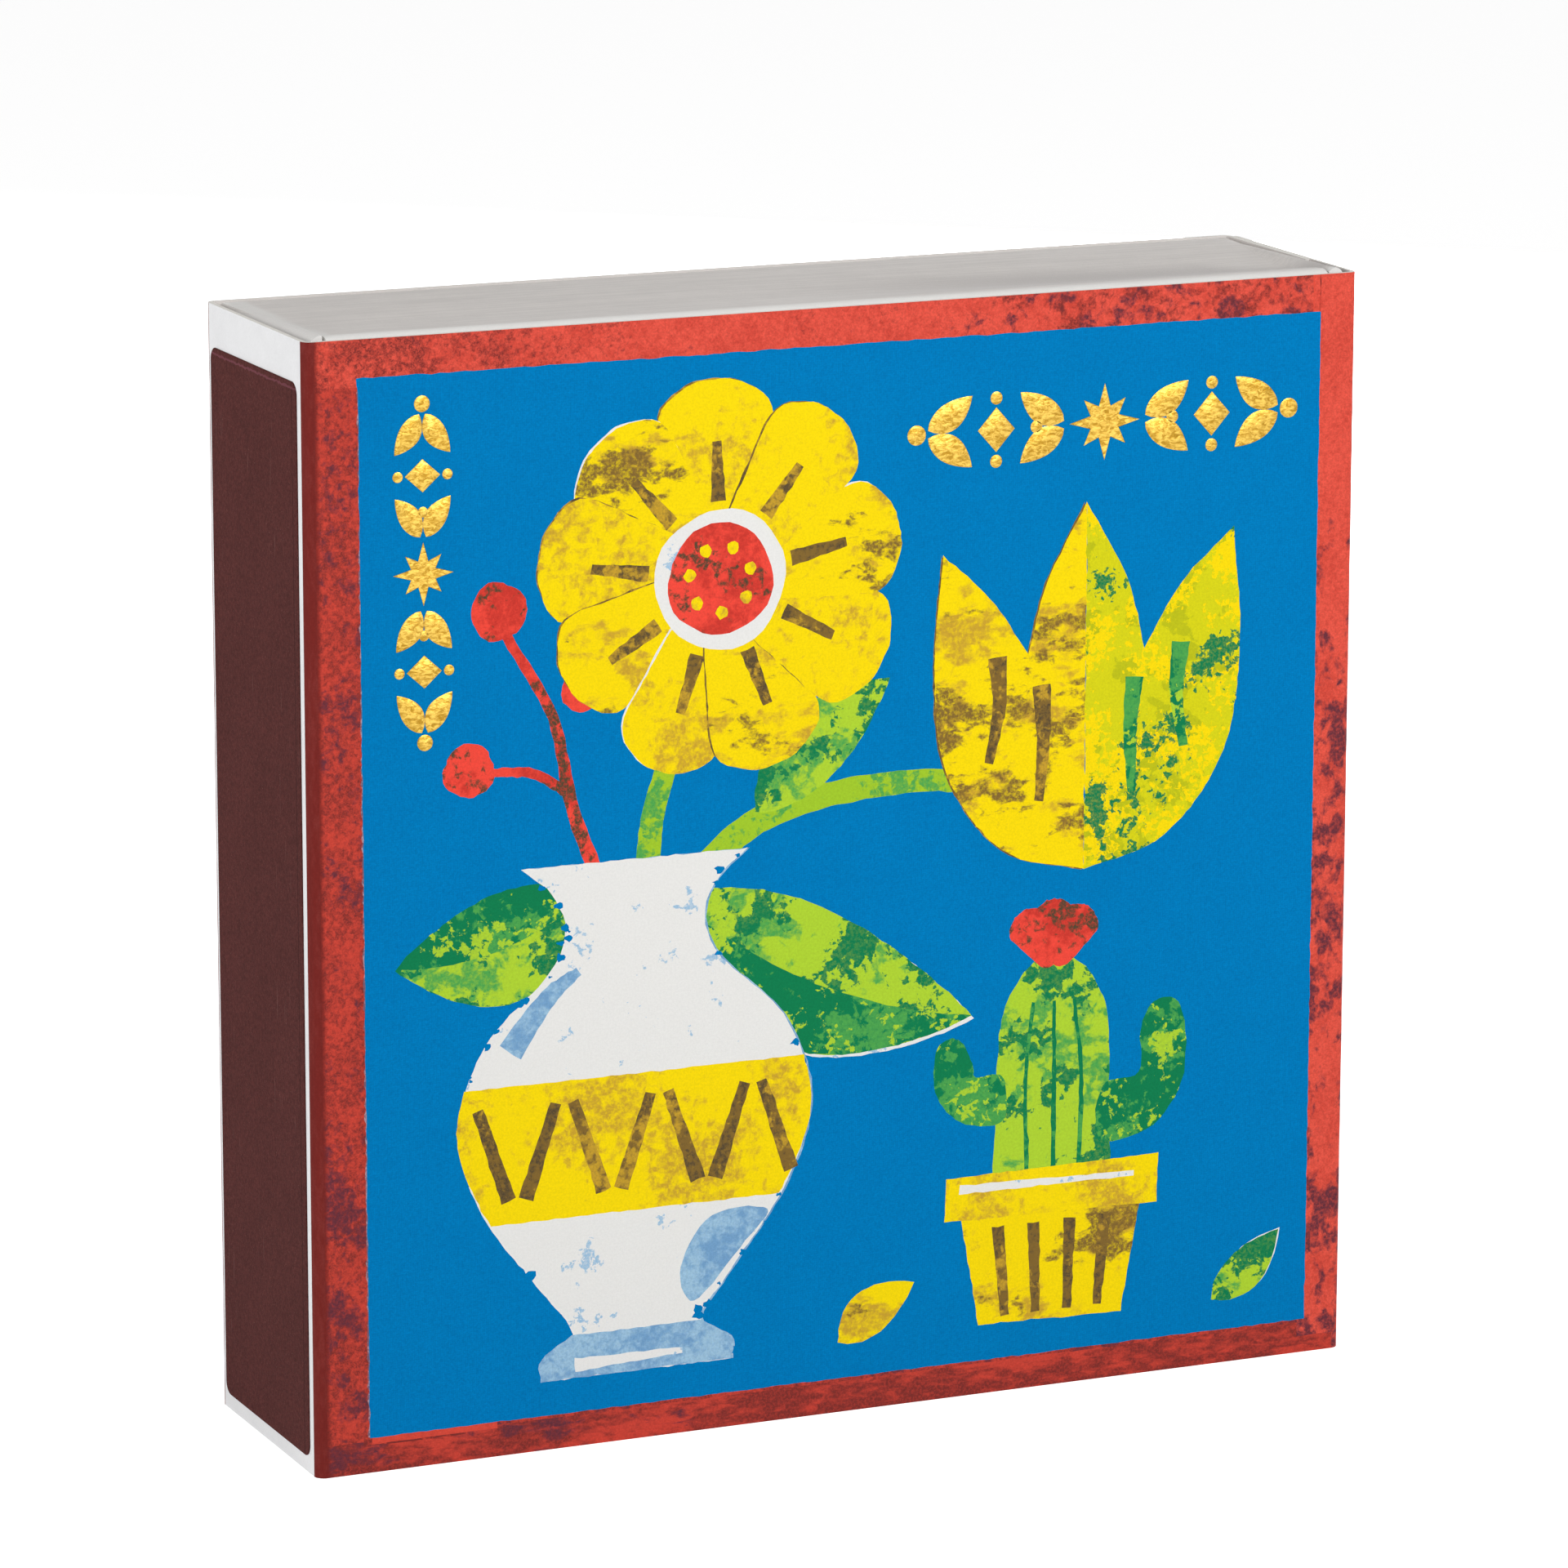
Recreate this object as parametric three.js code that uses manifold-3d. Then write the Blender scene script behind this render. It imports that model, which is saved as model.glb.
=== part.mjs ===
// A large square matchbox: a folded card sleeve with a striking strip on each side, and a folded card
// tray full of long matches that slides out of either end of it.
//
// Millimetres. X runs across the printed front, Y from the front (-) to the back (+), Z up. The box
// stands on one of its open ends, with the origin at the centre of that end. The tray lies open
// towards the front, its floor against the back of the sleeve, and slides along Z.

import * as THREE from "three";
import { mergeVertices } from "three/addons/utils/BufferGeometryUtils.js";
import Module from "manifold-3d";

const wasm = await Module();
wasm.setup();

// The sleeve: one sheet of card folded into a square tube and glued along its right-hand side.
const boxWidth = 105;
const boxHeight = 104.8;
const boxDepth = 26;
const sleeveBoard = 0.45;
const sleeveFoldRadius = 0.95; // outer radius of its four folds
const glueFlapWidth = 17; // the flap inside the right-hand side
const seamSetback = 1.1; // from the right-hand panel's cut edge to the back face

// The striking strips: a coated patch with rounded corners on each narrow side.
const strikerThickness = 0.14;
const strikerCornerRadius = 1.2;
const strikerFrontMargin = 1.9;
const strikerBackMargin = 1.6;
const strikerTopMargin = 3.9;
const strikerFootMargin = 1.5;

// The tray: one sheet of card, with single side walls and rolled double end walls.
const trayBoard = 0.5;
const slidingGap = 0.3; // all round, between the tray and the sleeve
const trayProud = 0.2; // how far the tray's upper end stands out of the sleeve's mouth
const trayFoldRadius = 0.9; // outer radius of the folds round the tray's floor
const endRollRadius = 1.7; // outer radius of the roll along each end wall's rim
const earFoldRadius = 1.4; // outer radius where a side wall turns into its ear
const earLength = 20; // how far an ear reaches into the end wall
const earRise = 0.35; // how far the ear's fold bulges up beside the end panel
const endPanelDip = 0.2; // how far the end panel lies below the crest of its roll
const endPanelShoulder = 1.3; // from the crest to where the panel is down at that level
const endPanelFloorInset = 0.4; // the end panel's side edge, in from the tray's side, at the floor
const endPanelRimInset = 2.4; // and at the rim
const tuckGap = 0.2; // between the tucked-in panel's edge and the tray's floor

// The matches, all heads up, in rows parallel to the tray's floor.
const stickThickness = 2.7;
const headRadius = 2.1;
const headLength = 6.2;
const headGap = 0.15; // between neighbouring heads
const headPress = 0.1; // how much fuller the heads of a joined row are, so that they touch
const matchEndPlay = 2.6; // free length left in the tray
const lengthVariation = 0.45; // how much shorter than the longest a match may be
const matchRows = 4;
const separateRows = 2; // how many rows from the front are matches of their own; the rest join by rows

const FOLD_SEGMENTS = 5;
const ROLL_SEGMENTS = 8;
const HEAD_SIDES = 8;
const HEAD_BANDS = 5;

// What follows from those sizes.
const halfWidth = boxWidth / 2;
const halfDepth = boxDepth / 2;
const trayLeft = -halfWidth + sleeveBoard + slidingGap;
const trayRight = halfWidth - 2 * sleeveBoard - slidingGap;
const trayBack = halfDepth - sleeveBoard - slidingGap;
const trayRim = -halfDepth + sleeveBoard + slidingGap;
const trayTop = boxHeight + trayProud;
const trayFoot = 0;
const panelTop = trayTop - endPanelDip;
const panelFoot = trayFoot + endPanelDip;
const endWallThickness = 2 * endRollRadius;
const floorInside = trayBack - trayBoard;
const innerFoot = trayFoot + endWallThickness;
const innerTop = trayTop - endWallThickness;

const card = { roughness: 0.8, metalness: 0 };
const sleeveMaterial = new THREE.MeshStandardMaterial({ color: 0xc8402f, ...card });
const trayMaterial = new THREE.MeshStandardMaterial({ color: 0xd9d6d2, ...card });
const strikerMaterial = new THREE.MeshStandardMaterial({ color: 0x4a2a28, roughness: 0.9, metalness: 0 });
const matchMaterial = new THREE.MeshStandardMaterial({ color: 0xd8b886, roughness: 0.75, metalness: 0 });

// A closed geometry as a solid, for joining and cutting.
function solidOf(geometry) {
  const bare = geometry.clone();
  bare.deleteAttribute("normal");
  bare.deleteAttribute("uv");
  const merged = mergeVertices(bare, 1e-4);
  return new wasm.Manifold(
    new wasm.Mesh({
      numProp: 3,
      vertProperties: new Float32Array(merged.attributes.position.array),
      triVerts: new Uint32Array(merged.index.array),
    }),
  );
}

// A solid as a geometry with flat faces.
function geometryOf(solid) {
  const mesh = solid.getMesh();
  const indexed = new THREE.BufferGeometry();
  indexed.setAttribute("position", new THREE.BufferAttribute(new Float32Array(mesh.vertProperties), 3));
  indexed.setIndex(new THREE.BufferAttribute(new Uint32Array(mesh.triVerts), 1));
  const flat = indexed.toNonIndexed();
  flat.computeVertexNormals();
  return flat;
}

function joined(solids) {
  return solids.reduce((whole, piece) => whole.add(piece));
}

function piece(name, geometry, material) {
  const mesh = new THREE.Mesh(geometry, material);
  mesh.name = name;
  return mesh;
}

// Places the columns of a matrix: the world directions that a shape's x, y and depth run along.
function turned(geometry, xAxis, yAxis, depthAxis, origin) {
  const frame = new THREE.Matrix4().makeBasis(xAxis, yAxis, depthAxis).setPosition(origin);
  return geometry.applyMatrix4(frame);
}

const X = new THREE.Vector3(1, 0, 0);
const Y = new THREE.Vector3(0, 1, 0);
const Z = new THREE.Vector3(0, 0, 1);

// A shape drawn in x and y, standing from z0 to z1.
function standing(shape, z0, z1, curveSegments = FOLD_SEGMENTS) {
  const block = new THREE.ExtrudeGeometry(shape, { depth: z1 - z0, bevelEnabled: false, curveSegments });
  return turned(block, X, Y, Z, new THREE.Vector3(0, 0, z0));
}

// A shape drawn in y and z, running from x0 to x1.
function across(shape, x0, x1, curveSegments = FOLD_SEGMENTS) {
  const block = new THREE.ExtrudeGeometry(shape, { depth: x1 - x0, bevelEnabled: false, curveSegments });
  return turned(block, Y, Z, X, new THREE.Vector3(x0, 0, 0));
}

// A shape drawn in z and x, running from y0 back to y1.
function backwards(shape, y0, y1, curveSegments = FOLD_SEGMENTS) {
  const block = new THREE.ExtrudeGeometry(shape, { depth: y1 - y0, bevelEnabled: false, curveSegments });
  return turned(block, Z, X, Y, new THREE.Vector3(0, y0, 0));
}

function boxBetween([x0, y0, z0], [x1, y1, z1]) {
  const block = new THREE.BoxGeometry(x1 - x0, y1 - y0, z1 - z0);
  return block.translate((x0 + x1) / 2, (y0 + y1) / 2, (z0 + z1) / 2);
}

const QUARTER = Math.PI / 2;

// Adds a quarter turn to a path, from heading `from` quarters to one quarter more, or less if clockwise.
function quarterTurn(path, cx, cy, radius, from, clockwise = false) {
  const to = clockwise ? from - 1 : from + 1;
  path.absarc(cx, cy, radius, from * QUARTER, to * QUARTER, clockwise);
}

// The sleeve's section. The right-hand panel laps over the glue flap that the back panel carries, so the
// back fold on that side is set in by one thickness of card.
function sleeveSection() {
  const r = sleeveFoldRadius;
  const inner = sleeveFoldRadius - sleeveBoard;
  const t = sleeveBoard;
  const seamFoldX = halfWidth - t - r;

  const outer = new THREE.Shape();
  outer.moveTo(-halfWidth + r, -halfDepth);
  outer.lineTo(halfWidth - r, -halfDepth);
  quarterTurn(outer, halfWidth - r, -halfDepth + r, r, -1);
  outer.lineTo(halfWidth, halfDepth - seamSetback);
  outer.lineTo(halfWidth - t, halfDepth - seamSetback);
  outer.lineTo(halfWidth - t, halfDepth - r);
  quarterTurn(outer, seamFoldX, halfDepth - r, r, 0);
  outer.lineTo(-halfWidth + r, halfDepth);
  quarterTurn(outer, -halfWidth + r, halfDepth - r, r, 1);
  outer.lineTo(-halfWidth, -halfDepth + r);
  quarterTurn(outer, -halfWidth + r, -halfDepth + r, r, 2);

  const flapEdge = halfDepth - glueFlapWidth;
  const hollow = new THREE.Path();
  hollow.moveTo(-halfWidth + r, -halfDepth + t);
  hollow.lineTo(halfWidth - r, -halfDepth + t);
  quarterTurn(hollow, halfWidth - r, -halfDepth + r, inner, -1);
  hollow.lineTo(halfWidth - t, flapEdge);
  hollow.lineTo(halfWidth - 2 * t, flapEdge);
  hollow.lineTo(halfWidth - 2 * t, halfDepth - r);
  quarterTurn(hollow, seamFoldX, halfDepth - r, inner, 0);
  hollow.lineTo(-halfWidth + r, halfDepth - t);
  quarterTurn(hollow, -halfWidth + r, halfDepth - r, inner, 1);
  hollow.lineTo(-halfWidth + t, -halfDepth + r);
  quarterTurn(hollow, -halfWidth + r, -halfDepth + r, inner, 2);
  outer.holes.push(hollow);
  return outer;
}

function sleeve() {
  return piece("sleeve", standing(sleeveSection(), 0, boxHeight), sleeveMaterial);
}

// A striking strip, a rounded patch drawn in y and z, between two distances from the centre plane.
function striker(name, x0, x1) {
  const front = -halfDepth + strikerFrontMargin;
  const back = halfDepth - strikerBackMargin;
  const foot = strikerFootMargin;
  const top = boxHeight - strikerTopMargin;
  const r = strikerCornerRadius;
  const patch = new THREE.Shape();
  patch.moveTo(front + r, foot);
  patch.lineTo(back - r, foot);
  quarterTurn(patch, back - r, foot + r, r, -1);
  patch.lineTo(back, top - r);
  quarterTurn(patch, back - r, top - r, r, 0);
  patch.lineTo(front + r, top);
  quarterTurn(patch, front + r, top - r, r, 1);
  patch.lineTo(front, foot + r);
  quarterTurn(patch, front + r, foot + r, r, 2);
  return piece(name, across(patch, x0, x1), strikerMaterial);
}

// The tray's floor and its two rolled ends, as one strip of card seen from the side, in y and z. Each end
// panel rises from the floor, rolls over at the rim and tucks back down to the floor inside the tray.
function floorAndEndsSection() {
  const t = trayBoard;
  const r = trayFoldRadius;
  const R = endRollRadius;
  const rollY = trayRim + R;
  const shoulderY = rollY + endPanelShoulder;
  const foldY = trayBack - r;
  const tuckY = floorInside - tuckGap;
  const strip = new THREE.Shape();

  strip.moveTo(trayBack, panelFoot + r);
  strip.lineTo(trayBack, panelTop - r);
  quarterTurn(strip, foldY, panelTop - r, r, 0);
  strip.lineTo(shoulderY, panelTop);
  strip.lineTo(rollY, trayTop);
  quarterTurn(strip, rollY, trayTop - R, R, 1);
  quarterTurn(strip, rollY, trayTop - R, R, 2);
  strip.lineTo(tuckY, innerTop);
  strip.lineTo(tuckY, innerTop + t);
  strip.lineTo(rollY, innerTop + t);
  quarterTurn(strip, rollY, trayTop - R, R - t, 3, true);
  quarterTurn(strip, rollY, trayTop - R, R - t, 2, true);
  strip.lineTo(shoulderY, panelTop - t);
  strip.lineTo(foldY, panelTop - t);
  quarterTurn(strip, foldY, panelTop - r, r - t, 1, true);

  strip.lineTo(floorInside, panelFoot + r);
  quarterTurn(strip, foldY, panelFoot + r, r - t, 0, true);
  strip.lineTo(shoulderY, panelFoot + t);
  strip.lineTo(rollY, trayFoot + t);
  quarterTurn(strip, rollY, trayFoot + R, R - t, 3, true);
  quarterTurn(strip, rollY, trayFoot + R, R - t, 2, true);
  strip.lineTo(tuckY, innerFoot - t);
  strip.lineTo(tuckY, innerFoot);
  strip.lineTo(rollY, innerFoot);
  quarterTurn(strip, rollY, trayFoot + R, R, 1);
  quarterTurn(strip, rollY, trayFoot + R, R, 2);
  strip.lineTo(shoulderY, panelFoot);
  strip.lineTo(foldY, panelFoot);
  quarterTurn(strip, foldY, panelFoot + r, r, 3);
  return strip;
}

// The plan of the end panels: their side edges taper in towards the rim.
function endPanelPlan() {
  const plan = new THREE.Shape();
  plan.moveTo(trayLeft + endPanelRimInset, trayRim);
  plan.lineTo(trayRight - endPanelRimInset, trayRim);
  plan.lineTo(trayRight - endPanelFloorInset, trayBack);
  plan.lineTo(trayLeft + endPanelFloorInset, trayBack);
  plan.closePath();
  return plan;
}

// The tray's floor and side walls, seen from the end, in x and y.
function floorAndSidesSection() {
  const t = trayBoard;
  const r = trayFoldRadius;
  const channel = new THREE.Shape();
  channel.moveTo(trayLeft, trayRim);
  channel.lineTo(trayLeft + t, trayRim);
  channel.lineTo(trayLeft + t, trayBack - r);
  quarterTurn(channel, trayLeft + r, trayBack - r, r - t, 2, true);
  channel.lineTo(trayRight - r, floorInside);
  quarterTurn(channel, trayRight - r, trayBack - r, r - t, 1, true);
  channel.lineTo(trayRight - t, trayRim);
  channel.lineTo(trayRight, trayRim);
  channel.lineTo(trayRight, trayBack - r);
  quarterTurn(channel, trayRight - r, trayBack - r, r, 0);
  channel.lineTo(trayLeft + r, trayBack);
  quarterTurn(channel, trayLeft + r, trayBack - r, r, 1);
  channel.closePath();
  return channel;
}

// One side wall with its two ears, in z and x, for the wall whose outer face is at `side` and whose ears
// point along `inward`, which is 1 or -1.
function wallAndEars(side, inward) {
  const t = trayBoard;
  const r = earFoldRadius;
  const top = panelTop - t + earRise;
  const foot = panelFoot + t - earRise;
  const at = (depth) => side + inward * depth;
  // Drawn as for the left wall; the right wall mirrors every quarter turn about the z axis.
  const turn = (path, z, radius, from, clockwise) =>
    inward > 0
      ? quarterTurn(path, z, at(r), radius, from, clockwise)
      : quarterTurn(path, z, at(r), radius, -from, !clockwise);
  const bent = new THREE.Shape();
  bent.moveTo(foot, at(earLength));
  bent.lineTo(foot, at(r));
  turn(bent, foot + r, r, 2, false);
  bent.lineTo(top - r, side);
  turn(bent, top - r, r, 3, false);
  bent.lineTo(top, at(earLength));
  bent.lineTo(top - t, at(earLength));
  bent.lineTo(top - t, at(r));
  turn(bent, top - r, r - t, 4, true);
  bent.lineTo(foot + r, at(t));
  turn(bent, foot + r, r - t, 3, true);
  bent.lineTo(foot + t, at(earLength));
  bent.closePath();
  return backwards(bent, trayRim + trayBoard, floorInside);
}

// What is cut away from an ear so that the roll along the rim passes in front of it.
function rollClearance(side, inward) {
  const near = side + inward * (endPanelRimInset - slidingGap);
  const far = side + inward * (earLength + trayBoard);
  const low = [Math.min(near, far), trayRim - trayBoard];
  const high = [Math.max(near, far), trayRim + endRollRadius];
  return [
    boxBetween([...low, trayFoot], [...high, innerFoot - trayBoard]),
    boxBetween([...low, innerTop + trayBoard], [...high, trayTop]),
  ].map(solidOf);
}

function tray() {
  const strip = solidOf(across(floorAndEndsSection(), trayLeft, trayRight, ROLL_SEGMENTS));
  const plan = solidOf(standing(endPanelPlan(), trayFoot - trayBoard, trayTop + trayBoard));
  const channelFoot = panelFoot + trayBoard + earFoldRadius;
  const channelTop = panelTop - trayBoard - earFoldRadius;
  const channel = solidOf(standing(floorAndSidesSection(), channelFoot, channelTop));
  const walls = [
    [trayLeft, 1],
    [trayRight, -1],
  ].map(([side, inward]) =>
    rollClearance(side, inward).reduce(
      (wall, block) => wall.subtract(block),
      solidOf(wallAndEars(side, inward)),
    ),
  );
  return piece("tray", geometryOf(joined([strip.intersect(plan), channel, ...walls])), trayMaterial);
}

// How much shorter than the longest this match is: a fixed pattern that looks irregular.
function shortfall(index) {
  return lengthVariation * Math.abs(Math.sin(index * 2.4));
}

// A match standing on the tray's lower end wall: a square stick with a bulb of striking compound.
function matchSolid(x, y, index, radius) {
  const foot = innerFoot;
  const tip = innerTop - matchEndPlay - shortfall(index);
  const half = stickThickness / 2;
  const middle = tip - headLength / 2;
  const stick = solidOf(boxBetween([x - half, y - half, foot], [x + half, y + half, middle]));
  const profile = [];
  for (let band = 0; band <= HEAD_BANDS; band++) {
    const angle = (Math.PI * band) / HEAD_BANDS;
    const onAxis = band === 0 || band === HEAD_BANDS;
    profile.push(new THREE.Vector2(onAxis ? 0 : radius * headFullness(angle), -Math.cos(angle) * (headLength / 2)));
  }
  const bulb = new THREE.LatheGeometry(profile, HEAD_SIDES).rotateX(QUARTER).translate(x, y, middle);
  return stick.add(solidOf(bulb));
}

// The bulb's radius as a share of its widest, full in the middle and blunt at the ends.
function headFullness(angle) {
  const widest = Math.sin((Math.PI * Math.floor(HEAD_BANDS / 2)) / HEAD_BANDS);
  return Math.min(1, Math.sin(angle) / widest);
}

function matches() {
  const pitch = 2 * headRadius + headGap;
  const inside = trayRight - trayLeft - 2 * trayBoard;
  const perRow = Math.floor(inside / pitch);
  const firstX = (trayLeft + trayRight) / 2 - ((perRow - 1) * pitch) / 2;
  const pressedRadius = headRadius + headPress;
  const rowPitch = 2 * pressedRadius + headGap;
  const made = [];
  for (let row = 1; row <= matchRows; row++) {
    const fromFloor = matchRows - row;
    const y = floorInside - headGap - pressedRadius - fromFloor * rowPitch;
    const separate = row <= separateRows;
    const radius = separate ? headRadius : pressedRadius;
    const solids = [];
    for (let place = 1; place <= perRow; place++) {
      solids.push(matchSolid(firstX + (place - 1) * pitch, y, place + row * perRow, radius));
    }
    if (separate) {
      solids.forEach((solid, i) => {
        const name = "match_" + row + "_" + String(i + 1).padStart(2, "0");
        made.push(piece(name, geometryOf(solid), matchMaterial));
      });
    } else {
      made.push(piece("match_row_" + row, geometryOf(joined(solids)), matchMaterial));
    }
  }
  return made;
}

const matchbox = new THREE.Group();
matchbox.name = "matchbox";
matchbox.add(
  sleeve(),
  striker("striker_left", -halfWidth - strikerThickness, -halfWidth),
  striker("striker_right", halfWidth, halfWidth + strikerThickness),
  tray(),
  ...matches(),
);

export default matchbox;
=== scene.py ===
# The looks of the matchbox: the folded and printed sleeve, its striking strips, the folded tray and the
# long matches. Everything is in metres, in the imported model's frame: the printed front faces -Y, Z is up.

import math
import random
from typing import NamedTuple

import bmesh
import bpy
from mathutils import Matrix, Vector
from mathutils.geometry import delaunay_2d_cdt


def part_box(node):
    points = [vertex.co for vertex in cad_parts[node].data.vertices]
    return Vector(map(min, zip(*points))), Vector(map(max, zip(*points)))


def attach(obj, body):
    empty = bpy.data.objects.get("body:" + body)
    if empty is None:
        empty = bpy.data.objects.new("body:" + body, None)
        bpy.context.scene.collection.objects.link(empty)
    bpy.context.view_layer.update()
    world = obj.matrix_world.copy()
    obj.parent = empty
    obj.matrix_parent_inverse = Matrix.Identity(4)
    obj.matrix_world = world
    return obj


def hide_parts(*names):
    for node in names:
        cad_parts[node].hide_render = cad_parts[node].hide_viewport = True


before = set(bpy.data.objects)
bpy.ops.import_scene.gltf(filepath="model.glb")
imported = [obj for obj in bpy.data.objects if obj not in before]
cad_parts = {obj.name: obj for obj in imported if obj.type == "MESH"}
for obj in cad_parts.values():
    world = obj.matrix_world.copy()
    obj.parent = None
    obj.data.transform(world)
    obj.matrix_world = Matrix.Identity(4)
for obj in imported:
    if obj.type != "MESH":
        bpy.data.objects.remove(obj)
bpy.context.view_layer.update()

MM = 0.001
WELD = 1e-7  # vertices nearer than this are one
sleeve_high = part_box("sleeve")[1]
tray_low, tray_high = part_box("tray")
HALF_WIDTH = sleeve_high.x
HALF_DEPTH = sleeve_high.y
HEIGHT = sleeve_high.z

# The sleeve's card, as it is cut and folded.
SLEEVE_BOARD = 0.45 * MM
SLEEVE_FOLD = 0.95 * MM
GLUE_FLAP = 17 * MM
SEAM_SETBACK = 1.1 * MM
FOLD_STEPS = 8
FOLD_ROWS = 56
FOLD_WEAR = 0.035 * MM

# The print's border round the blue field, as it falls on the panel: a little off centre.
BORDER_LEFT = 5.1 * MM
BORDER_RIGHT = 3.9 * MM
BORDER_TOP = 3.5 * MM
BORDER_FOOT = 3.3 * MM
FOLD_SHADE = 0.5 * MM  # how far the painted shade of the fold reaches onto the front
OVERLAP = 0.8 * MM  # of the border's strips
DOT_PITCH = 0.2  # millimetres between the printer's dots

# The tray's card.
TRAY_BOARD = 0.5 * MM
TRAY_FOLD = 0.9 * MM
END_ROLL = 1.7 * MM
EAR_FOLD = 1.4 * MM
EAR_FOLD_TIGHT = 0.8 * MM  # at the right, where the tray is pressed against the sleeve
EAR_LENGTH = 20 * MM
EAR_CREST = 0.34 * MM  # how far the ear's fold bulges above the end panel's face at the rim
EAR_SINK = 0.5 * MM  # how far it has sunk again at the floor
PANEL_DIP = 0.2 * MM
PANEL_SAG = (0.32 * MM, 0.9 * MM)  # the valley behind the crest, at the left and at the right
PANEL_VALLEY = 7.5 * MM  # from the crest to the valley, and from there on to where the panel is level again
PANEL_RISE = 13 * MM
PANEL_FLOOR_INSET = 0.4 * MM
PANEL_RIM_INSET = 1.75 * MM
EDGE_DENT = 0.07 * MM  # how far the panel's side edges are pressed down, and how wide the dent is
EDGE_DENT_WIDTH = 0.9 * MM
RIM_REACH = 1.3 * MM  # from the rim's face back to its crest
RIM_CREST = 0.02 * MM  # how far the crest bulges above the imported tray
RIM_SLOPE = math.radians(27)
RIM_TIGHT = 0.62 * MM  # the rim's tightest bend, which has to be wider than the board
PRESSED = 0.2 * MM  # how much nearer the tray's right side is to the sleeve than when packed
TUCK_GAP = 0.2 * MM
SLIDING_GAP = 0.3 * MM

# The matches.
STICK = 2.7 * MM
STICK_CHAMFER = 0.16 * MM
HEAD_LENGTH = 6.2 * MM
HEAD_SIDES = 16

# The foil's relief over the card, and how far it is pressed in.
FOIL_RELIEF = 0.06 * MM
FOIL_PRESS = 0.03 * MM
FOIL_SLOPE = 0.09 * MM

STRIKER_CORNER = 1.2 * MM

rng = random.Random(11)


# Colours are written as they look on a screen, from 0 to 255.
def colour(red, green, blue):
    def linear(level):
        share = level / 255
        return share / 12.92 if share <= 0.04045 else ((share + 0.055) / 1.055) ** 2.4

    return (linear(red), linear(green), linear(blue), 1.0)


INK_RED = colour(222, 84, 68)
INK_RED_DEEP = colour(196, 66, 53)
INK_MAROON = colour(122, 46, 42)
INK_PLUM = colour(98, 46, 56)
# Painted shade: the darker ink of the rounded folds.
INK_PAINTED_FOLD_SHADE = colour(112, 35, 31)
INK_BLUE = colour(0, 121, 184)
INK_YELLOW = colour(243, 213, 3)
INK_OCHRE = colour(196, 156, 46)
INK_BROWN = colour(126, 98, 46)
INK_CHARCOAL = colour(78, 66, 48)
INK_STALK = colour(156, 194, 42)
INK_LEAF = colour(170, 205, 50)
INK_LEAF_MID = colour(76, 160, 76)
INK_GREEN = colour(8, 120, 74)
INK_LIME = colour(208, 204, 20)
INK_OLIVE = colour(182, 184, 22)
INK_WHITE = colour(228, 227, 224)
INK_PALE = colour(112, 156, 196)
INK_PALE_LIGHT = colour(156, 192, 216)
INK_CORAL = colour(234, 72, 58)
INK_CORAL_DEEP = colour(196, 54, 44)
COATED_WHITE = colour(238, 238, 239)
BOARD_WHITE = colour(224, 219, 215)
# Painted shade for the tray's valley behind the crest.
BOARD_PAINTED_SHADE = colour(201, 196, 193)
# Painted highlight for the tray's rims and left ears.
BOARD_PAINTED_HIGHLIGHT = colour(240, 238, 235)
BOARD_EDGE = colour(246, 243, 236)
STRIKER_BROWN = colour(82, 43, 41)
MATCH_WOOD = colour(226, 196, 146)
MATCH_WOOD_DARK = colour(184, 142, 92)
MATCH_HEAD = colour(178, 40, 34)


# Materials


def feed(tree, node, values):
    """Puts values, or links from sockets, into a node's inputs."""
    for name, value in values.items():
        if isinstance(value, bpy.types.NodeSocket):
            tree.links.new(value, node.inputs[name])
        else:
            node.inputs[name].default_value = value


def new_node(tree, kind, values=None, **properties):
    """A new node with its properties and what goes into its inputs."""
    made = tree.nodes.new("ShaderNode" + kind)
    for name, value in properties.items():
        setattr(made, name, value)
    feed(tree, made, values or {})
    return made


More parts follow.
